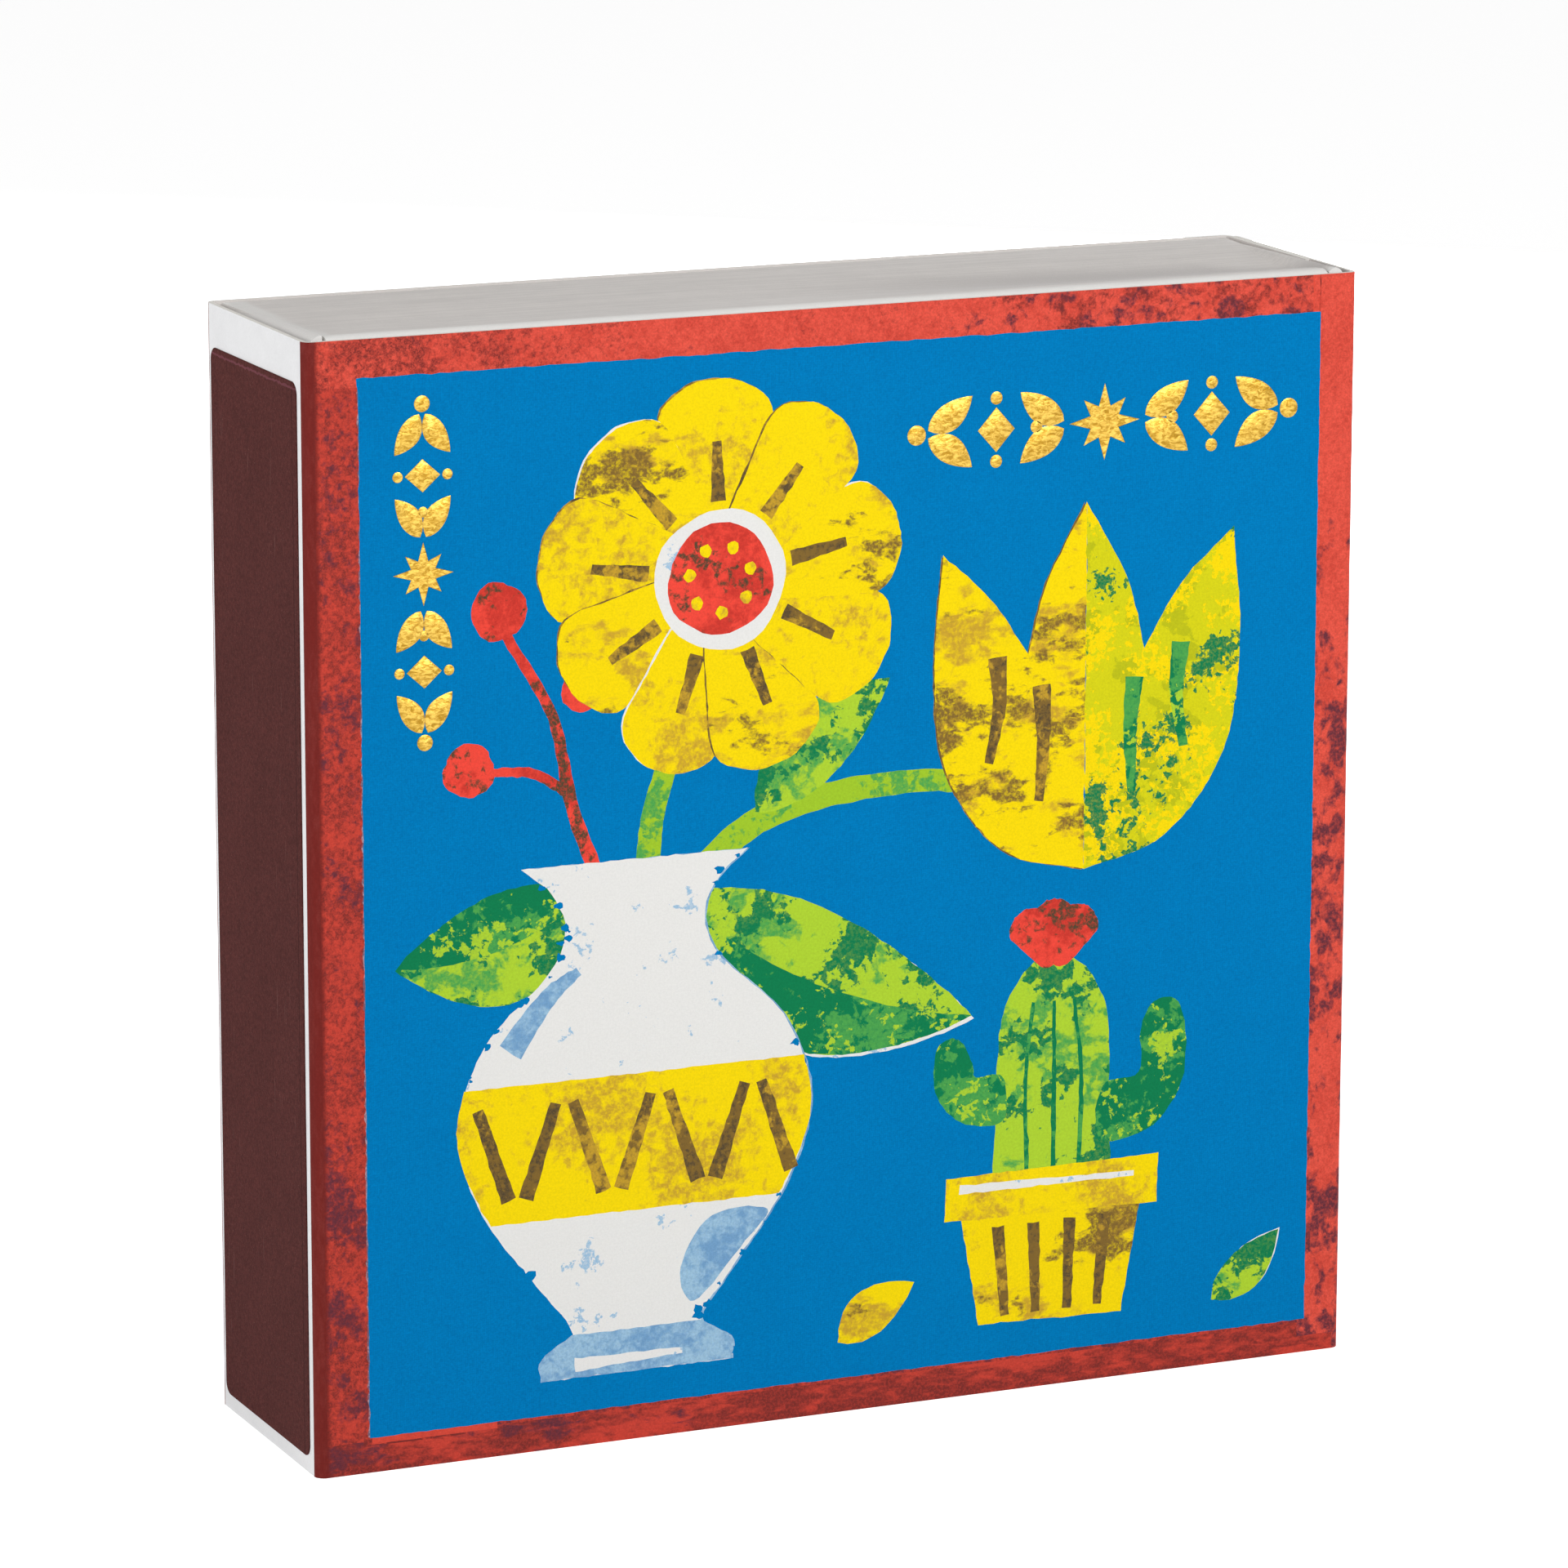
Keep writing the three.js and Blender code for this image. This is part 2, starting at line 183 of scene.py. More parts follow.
class Shader:
    """One material's nodes. Patterns are laid out in millimetres on the piece at rest."""

    def __init__(self, name, roughness, metallic=0.0):
        self.material = bpy.data.materials.new(name)
        self.material.use_nodes = True
        self.tree = self.material.node_tree
        self.tree.nodes.clear()
        self.surface = self.node("BsdfPrincipled", {"Roughness": roughness, "Metallic": metallic})
        self.node("OutputMaterial", {"Surface": self.surface.outputs["BSDF"]})
        place = self.node("TexCoord").outputs["Object"]
        self.point = self.node("VectorMath", {0: place, "Scale": 1 / MM}, operation="SCALE").outputs["Vector"]
        self.height = None

    def node(self, kind, values=None, **properties):
        return new_node(self.tree, kind, values, **properties)

    def set(self, name, value):
        feed(self.tree, self.surface, {name: value})

    def maths(self, operation, first, second=0.0, third=0.0):
        return self.node("Math", {0: first, 1: second, 2: third}, operation=operation).outputs["Value"]

    def times(self, first, second):
        return self.maths("MULTIPLY", first, second)

    def part(self, axis):
        return self.node("SeparateXYZ", {0: self.point}).outputs["XYZ".index(axis)]

    def noise(self, size, detail=3.0, stretch=(1, 1, 1), shift=0.0, distortion=0.0, roughness=0.55):
        """Noise from 0 to 1, whose spots are about size millimetres across, times stretch along each axis."""
        place = self.node("Mapping", {
            "Location": (shift, shift * 0.7, shift * 1.3),
            "Scale": [1 / (size * share) for share in stretch],
            "Vector": self.point,
        })
        return self.node("TexNoise", {
            "Scale": 1.0, "Detail": detail, "Roughness": roughness, "Distortion": distortion,
            "Vector": place.outputs["Vector"],
        }).outputs[0]

    def ragged(self, axis, amount, *noise):
        """A coordinate whose levels wander by amount millimetres of a noise."""
        return self.maths("MULTIPLY_ADD", self.noise(*noise), amount, self.part(axis))

    def step(self, value, low, high, out_low=0.0, out_high=1.0):
        """A smooth step of value from low to high."""
        levels = {"From Min": low, "From Max": high, "To Min": out_low, "To Max": out_high, "Value": value}
        return self.node("MapRange", levels, interpolation_type="SMOOTHSTEP").outputs["Result"]

    def blend(self, share, first, second):
        return self.node("Mix", {0: share, 6: first, 7: second}, data_type="RGBA").outputs[2]

    def tone(self, paint, level):
        return self.node("HueSaturation", {"Value": level, "Color": paint}).outputs["Color"]

    def shade(self, paint, amount, value):
        """Darkens or lightens paint by up to amount where value goes from 0 to 1."""
        return self.tone(paint, self.step(value, 0.3, 0.7, 1 - amount, 1 + amount))

    def raise_by(self, value, distance):
        """Adds relief: value times distance millimetres."""
        lift = self.times(value, distance)
        self.height = lift if self.height is None else self.maths("ADD", self.height, lift)

    def done(self, paint):
        self.set("Base Color", paint)
        bump = self.node("Bump", {"Strength": 1.0, "Distance": MM, "Height": self.height})
        self.set("Normal", bump.outputs["Normal"])
        return self.material


def paper_grain(shader, paint, amount, relief=0.014):
    """The tooth of the card under any ink: fine mottle and low relief."""
    tooth = shader.noise(0.22, roughness=0.7)
    paint = shader.shade(paint, amount, tooth)
    shader.raise_by(tooth, relief)
    shader.raise_by(shader.noise(0.7, 2.0, shift=5), relief * 1.2)
    return paint


def dot_screen(shader, paint, amount):
    """The printer's dots: a fine screen laid at 45 degrees over the panel."""
    x, z = shader.part("X"), shader.part("Z")
    turns = math.tau / (DOT_PITCH * math.sqrt(2))
    waves = [shader.maths("SINE", shader.times(shader.maths(way, x, z), turns)) for way in ("ADD", "SUBTRACT")]
    return shader.tone(paint, shader.maths("MULTIPLY_ADD", shader.times(*waves), amount, 1.0))


class Mottle(NamedTuple):
    """Spots of a second ink, as a dry brush or a sponge leaves them."""

    ink: tuple
    share: float = 0.4  # how much of the ground they cover
    size: float = 1.2  # the grain of the spots, in millimetres
    drift: float = 1.0  # how far they gather into patches
    patch: float = 7.0  # how many grains across a patch is
    stretch: tuple = (1, 1, 1)
    soft: float = 0.05  # how soft their edges are
    thin: float = 0.6  # the thinnest cover within a spot
    shift: float = 0.0
    where: tuple = ()  # axis, and the places where they begin and are fully there


def mottled(shader, paint, spots):
    """Paint with one set of spots over it."""
    grain = shader.noise(spots.size, 6.0, spots.stretch, spots.shift, 0.35, 0.6)
    patches = shader.noise(spots.size * spots.patch, 1.0, spots.stretch, spots.shift + 3)
    mask = shader.maths("ADD", grain, shader.times(patches, spots.drift))
    if spots.where:
        axis, begin, full = spots.where
        mask = shader.maths("ADD", mask, shader.step(shader.part(axis), begin, full, -0.22, 0.0))
    edge = 0.5 + 0.5 * spots.drift + (0.5 - spots.share) * 0.35
    cover = shader.step(mask, edge - spots.soft, edge + spots.soft)
    depth = shader.noise(spots.size * 0.3, shift=spots.shift + 8, roughness=0.65)
    return shader.blend(shader.times(cover, shader.step(depth, 0.3, 0.6, spots.thin, 1.0)), paint, spots.ink)


def printed(name, ink, *coats, screen=0.035, grain=0.075, gloss=0.07, fold=False):
    """Ink on coated card, with any mottling over it. With fold, the ink is darkened towards the panel's left fold
    by painted shade of the rounded fold."""
    shader = Shader("print_" + name, 0.6)
    paint = ink
    for spots in coats:
        paint = mottled(shader, paint, spots)
    # Painted shade: the ink darkens towards the left fold, where the rounded fold lies in shade.
    if fold:
        edge = (-HALF_WIDTH + SLEEVE_FOLD) / MM + 0.15
        place = shader.ragged("X", 0.3, 0.5, 2.0, (1, 1, 3), 31)
        paint = shader.blend(shader.step(place, edge + FOLD_SHADE / MM, edge, 0.0, 0.85), paint, INK_PAINTED_FOLD_SHADE)
    paint = paper_grain(shader, dot_screen(shader, paint, screen), grain)
    shader.set("Specular IOR Level", gloss)
    return shader.done(paint)


def unprinted(shader, paint, relief):
    """Finishes a material as card without ink."""
    paint = paper_grain(shader, paint, 0.02, relief)
    shader.set("Specular IOR Level", 0.3)
    return shader.done(paint)


def board(name, tone, relief, roughness=0.72):
    shader = Shader(name, roughness)
    return unprinted(shader, shader.shade(tone, 0.018, shader.noise(3.0)), relief)


def tray_material():
    """The tray's card: bare and streaked along X. It has a painted highlight where it is bent, over the end walls'
    rims and at the left ears, and painted shade in the valley behind the crest, from the middle to the right."""
    shader = Shader("tray_card", 0.72)
    paint = shader.shade(BOARD_WHITE, 0.018, shader.noise(3.0))
    rubbed = shader.noise(0.42, stretch=(30, 1, 1), shift=4)
    paint = shader.shade(paint, 0.045, rubbed)
    crest = (tray_low.y + RIM_REACH) / MM
    left, top = tray_low.x / MM, tray_high.z / MM

    # Painted shade: the card drawn duller in the valley behind the crest, from the middle to the right.
    slanted = shader.maths("MULTIPLY_ADD", shader.part("X"), 0.06, shader.part("Y"))
    right = shader.maths("MAXIMUM", shader.maths("SUBTRACT", shader.part("X"), 42.0), 0.0)
    valley = shader.step(shader.maths("MULTIPLY_ADD", right, 0.6, slanted), crest + 16, crest + 10)
    for axis, begin, full in (("Y", crest + 0.2, crest + 1.5), ("X", -6, 26), ("Z", top - 4, top - 2)):
        valley = shader.times(valley, shader.step(shader.part(axis), begin, full))
    paint = shader.blend(valley, paint, BOARD_PAINTED_SHADE)

    # Painted highlight: the card drawn paler over the end walls' rims and along the left ears' ridges.
    bent = shader.step(shader.ragged("Y", 0.5, 1.2, 3.0, (8, 1, 1), 9), crest + 0.55, crest - 0.15)
    ear = shader.step(shader.ragged("X", -0.5, 1.2, 3.0, (1, 8, 1), 19), left + 2.8, left + 1.6, 0.0, 0.8)
    paint = shader.blend(shader.maths("MAXIMUM", bent, ear), paint, BOARD_PAINTED_HIGHLIGHT)
    shader.raise_by(rubbed, 0.02)
    return unprinted(shader, paint, 0.02)


def striker_material():
    """A matt coat full of fine grit, thicker along its rim, with a few light scratches and a line of painted shade in
    a shallow groove near its front edge.
    """
    shader = Shader("striker_coat", 0.8)
    low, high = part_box("striker_left")
    grit = shader.noise(0.26, 4.0, roughness=0.75)
    paint = shader.shade(STRIKER_BROWN, 0.34, grit)
    paint = shader.shade(paint, 0.05, shader.noise(9, shift=2))
    flecks = shader.step(shader.noise(0.14, 1.0, shift=9), 0.68, 0.74)
    paint = shader.blend(shader.times(flecks, 0.4), paint, colour(158, 116, 112))
    scratch = shader.step(shader.noise(0.16, 1.0, (1, 1, 60), 6), 0.7, 0.75)
    where = shader.step(shader.noise(8, 1.0, shift=7), 0.52, 0.62)
    paint = shader.blend(shader.times(shader.times(scratch, where), 0.4), paint, colour(164, 124, 120))
    # Painted shade: a dark line in a shallow groove near the strip's front edge.
    wobble = shader.maths("MULTIPLY_ADD", shader.noise(3.0, 2.0, shift=12), 0.12, -low.y / MM - 1.06)
    line = shader.maths("ABSOLUTE", shader.maths("ADD", wobble, shader.part("Y")))
    line = shader.step(line, 0.14, 0.04, 0.0, 0.55)
    paint = shader.blend(line, paint, colour(44, 22, 22))
    ragged = shader.ragged("Z", 0.5, 0.6, 4.0, (1, 1, 1), 14)
    band = shader.maths("ABSOLUTE", shader.maths("ADD", ragged, -high.z / MM + 0.3))
    band = shader.step(band, 0.16, 0.05, 0.0, 0.6)
    paint = shader.blend(band, paint, colour(128, 74, 84))
    for value, distance in ((grit, 0.05), (line, -0.06), (band, 0.05)):
        shader.raise_by(value, distance)
    shader.set("Specular IOR Level", 0.05)
    return shader.done(paint)


def foil_material():
    """Hot-stamped gold foil: metal, with the crinkle that the card's tooth gives it, and painted reflections of that
    crinkle in its colour.
    """
    shader = Shader("gold_foil", 0.42, 1.0)
    crinkle = shader.noise(0.42, 4.0, (1.6, 1, 0.8), 0.0, 0.8, 0.65)
    fine = shader.noise(0.18, 2.0, shift=3)
    shader.raise_by(crinkle, 0.05)
    shader.raise_by(fine, 0.012)
    shader.set("Roughness", shader.step(fine, 0.3, 0.7, 0.34, 0.5))
    # Painted reflection: the gold runs from dark to bright over the crinkle.
    return shader.done(shader.blend(shader.step(crinkle, 0.35, 0.66), colour(164, 124, 38), colour(226, 188, 90)))


def wood_material():
    """Sawn aspen: long grain along Z with a little darker streak here and there."""
    shader = Shader("match_wood", 0.7)
    grain = shader.noise(0.35, 4.0, (1, 1, 28), distortion=0.2)
    streak = shader.step(shader.noise(1.8, 2.0, (1, 1, 9), 5), 0.5, 0.75)
    paint = shader.blend(shader.step(grain, 0.35, 0.75), MATCH_WOOD, MATCH_WOOD_DARK)
    paint = shader.blend(shader.times(streak, 0.35), paint, colour(168, 120, 70))
    paint = shader.shade(paint, 0.06, shader.noise(5.0, 1.0, shift=2))
    shader.raise_by(grain, 0.08)
    shader.raise_by(shader.noise(0.12, 2.0, (1, 1, 6), 1), 0.02)
    return shader.done(paint)


def head_material():
    """The dipped compound: dry, slightly rough, paler where it is rubbed."""
    shader = Shader("match_head", 0.62)
    grain = shader.noise(0.3, 4.0, roughness=0.65)
    dust = shader.step(shader.noise(0.9, 2.0, shift=4), 0.55, 0.75)
    paint = shader.blend(shader.times(dust, 0.22), shader.shade(MATCH_HEAD, 0.14, grain), colour(214, 118, 104))
    shader.raise_by(grain, 0.09)
    shader.raise_by(shader.noise(1.1, 2.0, shift=8), 0.12)
    return shader.done(paint)


# Outlines of the print. Points are (x, z) in millimetres, x from the middle of the panel and z up from its foot.


def curve(around, steps):
    """A smooth curve through all of the points but the first and the last, without the end of its last run."""
    made = []
    for p0, p1, p2, p3 in zip(around, around[1:], around[2:], around[3:]):
        for step in range(steps):
            t = step / steps
            bend = 2 * p1 + (p2 - p0) * t + (2 * p0 - 5 * p1 + 4 * p2 - p3) * t * t
            made.append((bend + (3 * p1 - p0 - 3 * p2 + p3) * t**3) / 2)
    return made


def smooth_loop(points, steps=7):
    """A closed smooth line through the points."""
    places = [Vector(p) for p in points]
    return curve(places[-1:] + places + places[:2], steps)


def smooth_path(points, steps=8):
    """An open smooth line through the points, its ends included."""
    places = [Vector(p) for p in points]
    return curve([places[0] * 2 - places[1], *places, places[-1] * 2 - places[-2]], steps) + [places[-1]]


def ribbon(points, start_width, end_width, steps=8):
    """A strip of cut paper along a smooth line, tapering from one width to the other."""
    line = smooth_path(points, steps)
    left, right = [], []
    for i, here in enumerate(line):
        side = (line[min(i + 1, len(line) - 1)] - line[max(i - 1, 0)]).orthogonal().normalized()
        half = (start_width + (end_width - start_width) * i / (len(line) - 1)) / 2
        left.append(here + side * half)
        right.append(here - side * half)
    return left + right[::-1]


def leaf(base, tip, width, bend=0.0, part="whole", steps=14):
    """A pointed leaf on a bent spine. part is whole, left or right of the spine."""
    base, tip = Vector(base), Vector(tip)
    side = (tip - base).orthogonal().normalized()
    middle = (base + tip) / 2 + side * bend
    left, right, spine = [], [], []
    for i in range(steps + 1):
        t = i / steps
        at = base * (1 - t) ** 2 + middle * 2 * t * (1 - t) + tip * t * t
        half = width / 2 * math.sin(math.pi * t**0.85) ** 0.85
        spine.append(at)
        left.append(at + side * half)
        right.append(at - side * half)
    if part == "whole":
        return left + right[-2:0:-1]
    return (left if part == "left" else right)[1:-1] + spine[::-1]


def disc(centre, radius, wobble=0.012, steps=36, flat=1.0):
    """A circle cut freehand."""
    phase = rng.uniform(0, math.tau)
    made = []
    for i in range(steps):
        angle = math.tau * i / steps
        r = radius * (1 + wobble * (math.sin(3 * angle + phase) + 0.6 * math.sin(5 * angle - phase)))
        made.append(Vector((centre[0] + r * math.cos(angle), centre[1] + r * flat * math.sin(angle))))
    return made


def petal(centre, angle, inner, outer, width):
    """A rounded petal from inner to outer radius round a centre; angle in degrees from +x."""
    along = Vector((math.cos(math.radians(angle)), math.sin(math.radians(angle))))
    side, heart, span = along.orthogonal(), Vector(centre), outer - inner
    shape = [(0.0, 0.22), (0.45, 0.42), (0.8, 0.5), (0.97, 0.24)]
    left = [heart + along * (inner + span * t) + side * width * w for t, w in shape]
    right = [heart + along * (inner + span * t) - side * width * w for t, w in reversed(shape)]
    return smooth_loop(left + [heart + along * outer] + right, 5)


def mirrored(profile, centre):
    """A closed outline from (half width, z) points, the same on both sides of x = centre."""
    right = smooth_path([(centre + half, z) for half, z in profile], 5)
    return right + [Vector((2 * centre - p.x, p.y)) for p in reversed(right)]


def moved(outline, dx, dz):
    return [Vector(p) + Vector((dx, dz)) for p in outline]


def beside(x, *points):
    """Points given from a line x."""
    return [(x + dx, z) for dx, z in points]


def rough(outline, amount=0.04, pitch=0.8):
    """An outline as scissors leave it: its runs broken up and set a little off their line."""
    made = []
    for here, there in zip(outline, outline[1:] + outline[:1]):
        here = Vector(here)
        run = Vector(there) - here
        parts = max(1, round(run.length / pitch))
        side = run.orthogonal().normalized()
        made += [here + run * (k / parts) + side * max(-0.1, min(0.1, rng.gauss(0, amount))) for k in range(parts)]
    return made


def flakes(outline, count, size):
    """Small ragged flakes along an outline, where the cut paper's ink has come away."""
    made = []
    for _ in range(count):
        at = Vector(outline[rng.randrange(len(outline))])
        at += Vector((rng.uniform(-0.5, 0.5), rng.uniform(-0.5, 0.5))) * size
        made.append(disc(at, size * rng.uniform(0.2, 0.6), 0.22, 9, rng.uniform(0.5, 1.0)))
    return made


def border_strips(left, right, top):
    """The border's overlapping strips and the blue field, in paint order, each as (ink, outline)."""
    fold = SLEEVE_FOLD / MM
    x0 = left - fold + BORDER_LEFT / MM
    x1 = right + fold - BORDER_RIGHT / MM
    z0 = BORDER_FOOT / MM
    z1 = top - BORDER_TOP / MM
    lap = OVERLAP / MM

    def strip(a, b, c, d):
        return rough([(a, c), (b, c), (b, d), (a, d)], 0.03)

    return [
        ("red_top", strip(left - 1, right, z1 - lap, top + 1)),
        ("red_foot", strip(left - 1, right + 1, -1, z0 - 0.3)),
        ("red_right", strip(x1 - lap, right + 1, 1.6, top + 1)),
        ("red_light", strip(x1 - lap, x1 - lap + 0.16, z1 - 0.5, top + 1)),
        ("red_deep", strip(x1 - 0.14, x1 - 0.02, z1 - 0.5, top + 1)),
        ("red_deep", strip(x0 - 0.6, x0 + 9.5, z0 - 0.75, z0 + 0.4)),
        ("red_light", strip(x0 + 0.2, x0 + 12.5, z0 - 0.6, z0 + 0.4)),
        ("grey_edge", rough([(x0 - 0.12, z0 - 0.02), (x0 + 1, z0), (x0 + 1, z1), (x0 - 0.1, z1 + 0.03)], 0.07, 0.45)),
        ("blue", rough([(x0, z0), (x1, z0), (x1, z1), (x0 - 0.25, z1), (x0 - 0.05, z1 - 1.2)], 0.035)),
    ]


def flowers_and_pots():
    """The print's motifs in paint order, each as (ink, outline): a vase of flowers and a potted cactus."""
    drawn = []

    def paint(ink, outline):
        drawn.append((ink, rough(outline)))

    vase_x = -21.0
    vase_foot = 6.6

    # Stems and leaves come first, so that the vase's mouth covers their ends.
    paint("stalk", ribbon([(vase_x + 1, 50), (-19, 60), (-14.5, 72)], 2.6, 1.9))
    paint("stalk", ribbon([(vase_x + 3, 50), (-8, 58), (8, 60), (20, 57)], 2.9, 1.8))
    paint("coral", ribbon([(vase_x - 2, 50), (-27, 60), (-29, 69), (-33.5, 77)], 1.5, 0.9))
    paint("coral", ribbon([(-27.6, 62), (-31, 64), (-35, 64.5)], 1.0, 0.8))
    for centre, radius in (((-34.2, 79.2), 2.7), ((-37.2, 64.8), 2.5), ((-26.0, 71.5), 2.2)):
        paint("coral", disc(centre, radius, 0.04))

    large = (-17, 51), (13, 37), 13.5, -5.0
    small = (-26, 52), (-44.5, 47), 10.5, 3.6
    paint("white", moved(leaf(*large), 0.25, -0.3))
    paint("leaf_light", leaf(*large))
    paint("leaf_dark", leaf(*large, "right"))
    paint("leaf_dark", leaf(*small))
    paint("leaf_light", leaf(*small, "left"))
    paint("leaf_light", leaf((-9, 58.5), (4.5, 70), 7.2, 1.5))

    # The large flower.
    heart = (-12.5, 80.5)
    petals = 9
    for i in range(petals):
        angle = 90 + 360 / petals * i + rng.uniform(-3, 3)
        reach = 17.6 + rng.uniform(-0.9, 0.9)
        outline = petal(heart, angle, 3.5, reach, 10.6 + rng.uniform(-0.8, 0.8))
        paint("white" if i % 3 == 1 else "brown", moved(outline, -0.14, 0.1))
        paint("yellow_mottled" if i % 2 else "yellow", outline)
    for i in range(petals):
        angle = math.radians(90 + 360 / petals * (i + 0.04))
        ends = [(heart[0] + r * math.cos(angle), heart[1] + r * math.sin(angle)) for r in (7.2, 12.8)]
        paint("brown", ribbon(ends, 1.5, 0.9, 2))
    paint("white", disc(heart, 6.5, 0.02))
    paint("coral", disc(heart, 5.2, 0.025))
    for i in range(7):
        angle = math.tau * (i + 0.3) / 7
        spot = (heart[0] + 3.1 * math.cos(angle), heart[1] + 3.1 * math.sin(angle))
        paint("yellow", disc(spot, 0.62, 0.05, 10))

    # The tulip, one half in each ink.
    foot, tip = (24.5, 50.0), (24.5, 85.0)
    left_half = [
        *smooth_path([foot, (16.0, 52.6), (10.2, 60.5), (9.0, 70.0), (9.8, 81.0)]),
        *smooth_path([(9.8, 81.0), (14.6, 76.6), (18.6, 71.0)]),
        *smooth_path([(18.6, 71.0), (20.4, 77.6), tip]),
    ]
    right_half = [
        *smooth_path([tip, (28.8, 77.4), (30.6, 70.6)]),
        *smooth_path([(30.6, 70.6), (34.4, 76.6), (39.8, 81.6)]),
        *smooth_path([(39.8, 81.6), (40.6, 70.4), (39.0, 60.2), (33.0, 52.6), foot]),
    ]
    paint("brown", moved(left_half, -0.16, 0.0))
    paint("yellow_mottled", left_half)
    paint("lime", right_half)
    for ink, line in (
        ("brown", [(14.6, 61), (15.6, 66), (15.4, 71)]),
        ("brown", [(19.8, 57), (20.2, 63), (20.0, 68)]),
        ("leaf_dark", [(29.4, 57), (29.2, 63), (29.6, 68)]),
        ("leaf_dark", [(34.8, 61), (34.0, 66), (34.4, 71)]),
    ):
        paint(ink, ribbon(line, 0.9, 1.9))

    # The vase.
    body = [
        (9.6, 0.0), (9.4, 2.2), (6.4, 4.2), (9.4, 8.5), (15.2, 16.5), (17.6, 24.5), (14.8, 32.5), (8.6, 38.5),
        (6.9, 42.5), (8.2, 46.0), (11.2, 48.6),
    ]
    band = [(14.4, 15.4), (15.9, 18.2), (17.3, 21.8), (17.6, 25.2), (16.9, 28.4)]
    outline = mirrored([(half, vase_foot + z) for half, z in body], vase_x)
    paint("pale", moved(outline, 0.2, 0.0))
    paint("white", outline)
    for flake in flakes(outline, 44, 0.9):
        paint("blue", flake)
    paint("yellow", mirrored([(half, vase_foot + z) for half, z in band], vase_x))
    for i in range(7):
        x = vase_x - 14.1 + 4.7 * i
        lean = 1.5 if i % 2 else -1.5
        paint("brown", ribbon([(x - lean, vase_foot + 17.6), (x + lean, vase_foot + 26.4)], 1.5, 1.1, 2))
    paint("pale", ribbon(beside(vase_x, (-5.6, 45.2), (-8.6, 43.0), (-12.4, 38.2)), 0.9, 2.6))
    paint("pale", mirrored([(9.6, vase_foot), (9.5, vase_foot + 2.1), (6.5, vase_foot + 4.1)], vase_x))
    paint("pale", smooth_loop(beside(vase_x, (5.8, 12.6), (10.4, 17.2), (13.2, 20.6), (7.6, 20.6), (4.4, 16.0))))
    paint("white", ribbon(beside(vase_x, (-6.2, vase_foot + 1.2), (4.6, vase_foot + 1.4)), 1.3, 0.5, 2))

    # The cactus in its pot.
    cactus_x = 21.5
    for ink, points in (
        ("leaf_light", [(-5.2, 17.0), (-5.9, 27.0), (-5.0, 37.5), (0, 42.5), (5.2, 37.5), (5.9, 27.0), (5.0, 17.0)]),
        ("leaf_dark", [(5.0, 23.6), (10.6, 24.4), (13.8, 29.2), (13.4, 35.8), (10.8, 36.6), (9.2, 34.2), (9.0, 29.8),
                       (5.2, 28.8)]),
        ("leaf_dark", [(-5.2, 26.4), (-9.6, 26.8), (-12.2, 30.0), (-12.0, 34.2), (-9.8, 34.8), (-8.4, 32.4),
                       (-8.0, 31.0), (-5.2, 30.8)]),
    ):
        paint(ink, smooth_loop(beside(cactus_x, *points)))
    for dx in (-2.6, 0.1, 2.7):
        paint("green", ribbon(beside(cactus_x, (dx, 20), (dx * 1.1, 30), (dx * 0.8, 37.6)), 0.5, 0.35, 3))
    for lean in (-34, 0, 34):
        paint("coral", petal((cactus_x, 41.0), 90 + lean, 0.4, 6.4, 4.0))
    paint("yellow_mottled", beside(cactus_x, (-7.6, 6.8), (7.4, 6.4), (9.6, 19.2), (-9.8, 19.4)))
    paint("yellow", beside(cactus_x, (-11.2, 17.2), (11.0, 16.8), (11.2, 21.6), (-11.0, 21.4)))
    for dx in (-5.6, -1.9, 1.9, 5.6):
        paint("brown", ribbon(beside(cactus_x, (dx * 0.86, 7.4), (dx, 16.2)), 0.9, 1.3, 2))
    paint("white", ribbon(beside(cactus_x, (-9.6, 20.2), (8.6, 19.9)), 0.9, 0.5, 2))

    # A fallen petal and leaf.
    fallen = (38.5, 6.4), (45.6, 12.6), 4.2, -0.8
    paint("yellow_mottled", leaf((-0.6, 6.8), (7.2, 11.8), 4.6, 0.9))
    paint("white", moved(leaf(*fallen), 0.2, 0.16))
    paint("leaf_light", leaf(*fallen))
    return drawn


def foil_figures(tall):
    """A band of foil ornaments about (0, 0) along x: a star, then leaves, lozenges and discs on both sides."""
    star = []
    for i in range(16):
        radius = 0.5 if i % 4 == 0 else 0.22 if i % 2 else 0.42
        angle = math.tau * i / 16
        star.append(Vector((radius * math.cos(angle), radius * math.sin(angle))))
    figures = [star]
    for side in (-1, 1):
        middle = side * 1.54
        for up in (-1, 1):
            bend = -side * up * 0.07
            figures.append(leaf((side * 0.58, up * 0.05), (side * 1.2, up * 0.46), 0.36, bend))
            figures.append(leaf((side * 2.5, up * 0.05), (side * 1.88, up * 0.46), 0.36, -bend))
            figures.append(disc((middle, up * 0.41), 0.085, 0.0, 14))
        figures.append([Vector(p) for p in ((middle - 0.26, 0), (middle, -0.29), (middle + 0.26, 0), (middle, 0.29))])
        figures.append(disc((side * 0.97, 0), 0.085, 0.0, 14))
        figures.append(disc((side * 2.66, 0), 0.13, 0.0, 18))
    return [[p * tall for p in figure] for figure in figures]


# Meshes


def placed(name, data):
    """An object of some data, in the scene."""
    made = bpy.data.objects.new(name, data)
    bpy.context.scene.collection.objects.link(made)
    return made


def shaped(name, mesh):
    """An object of a bmesh, which is used up."""
    data = bpy.data.meshes.new(name)
    mesh.to_mesh(data)
    mesh.free()
    return placed(name, data)


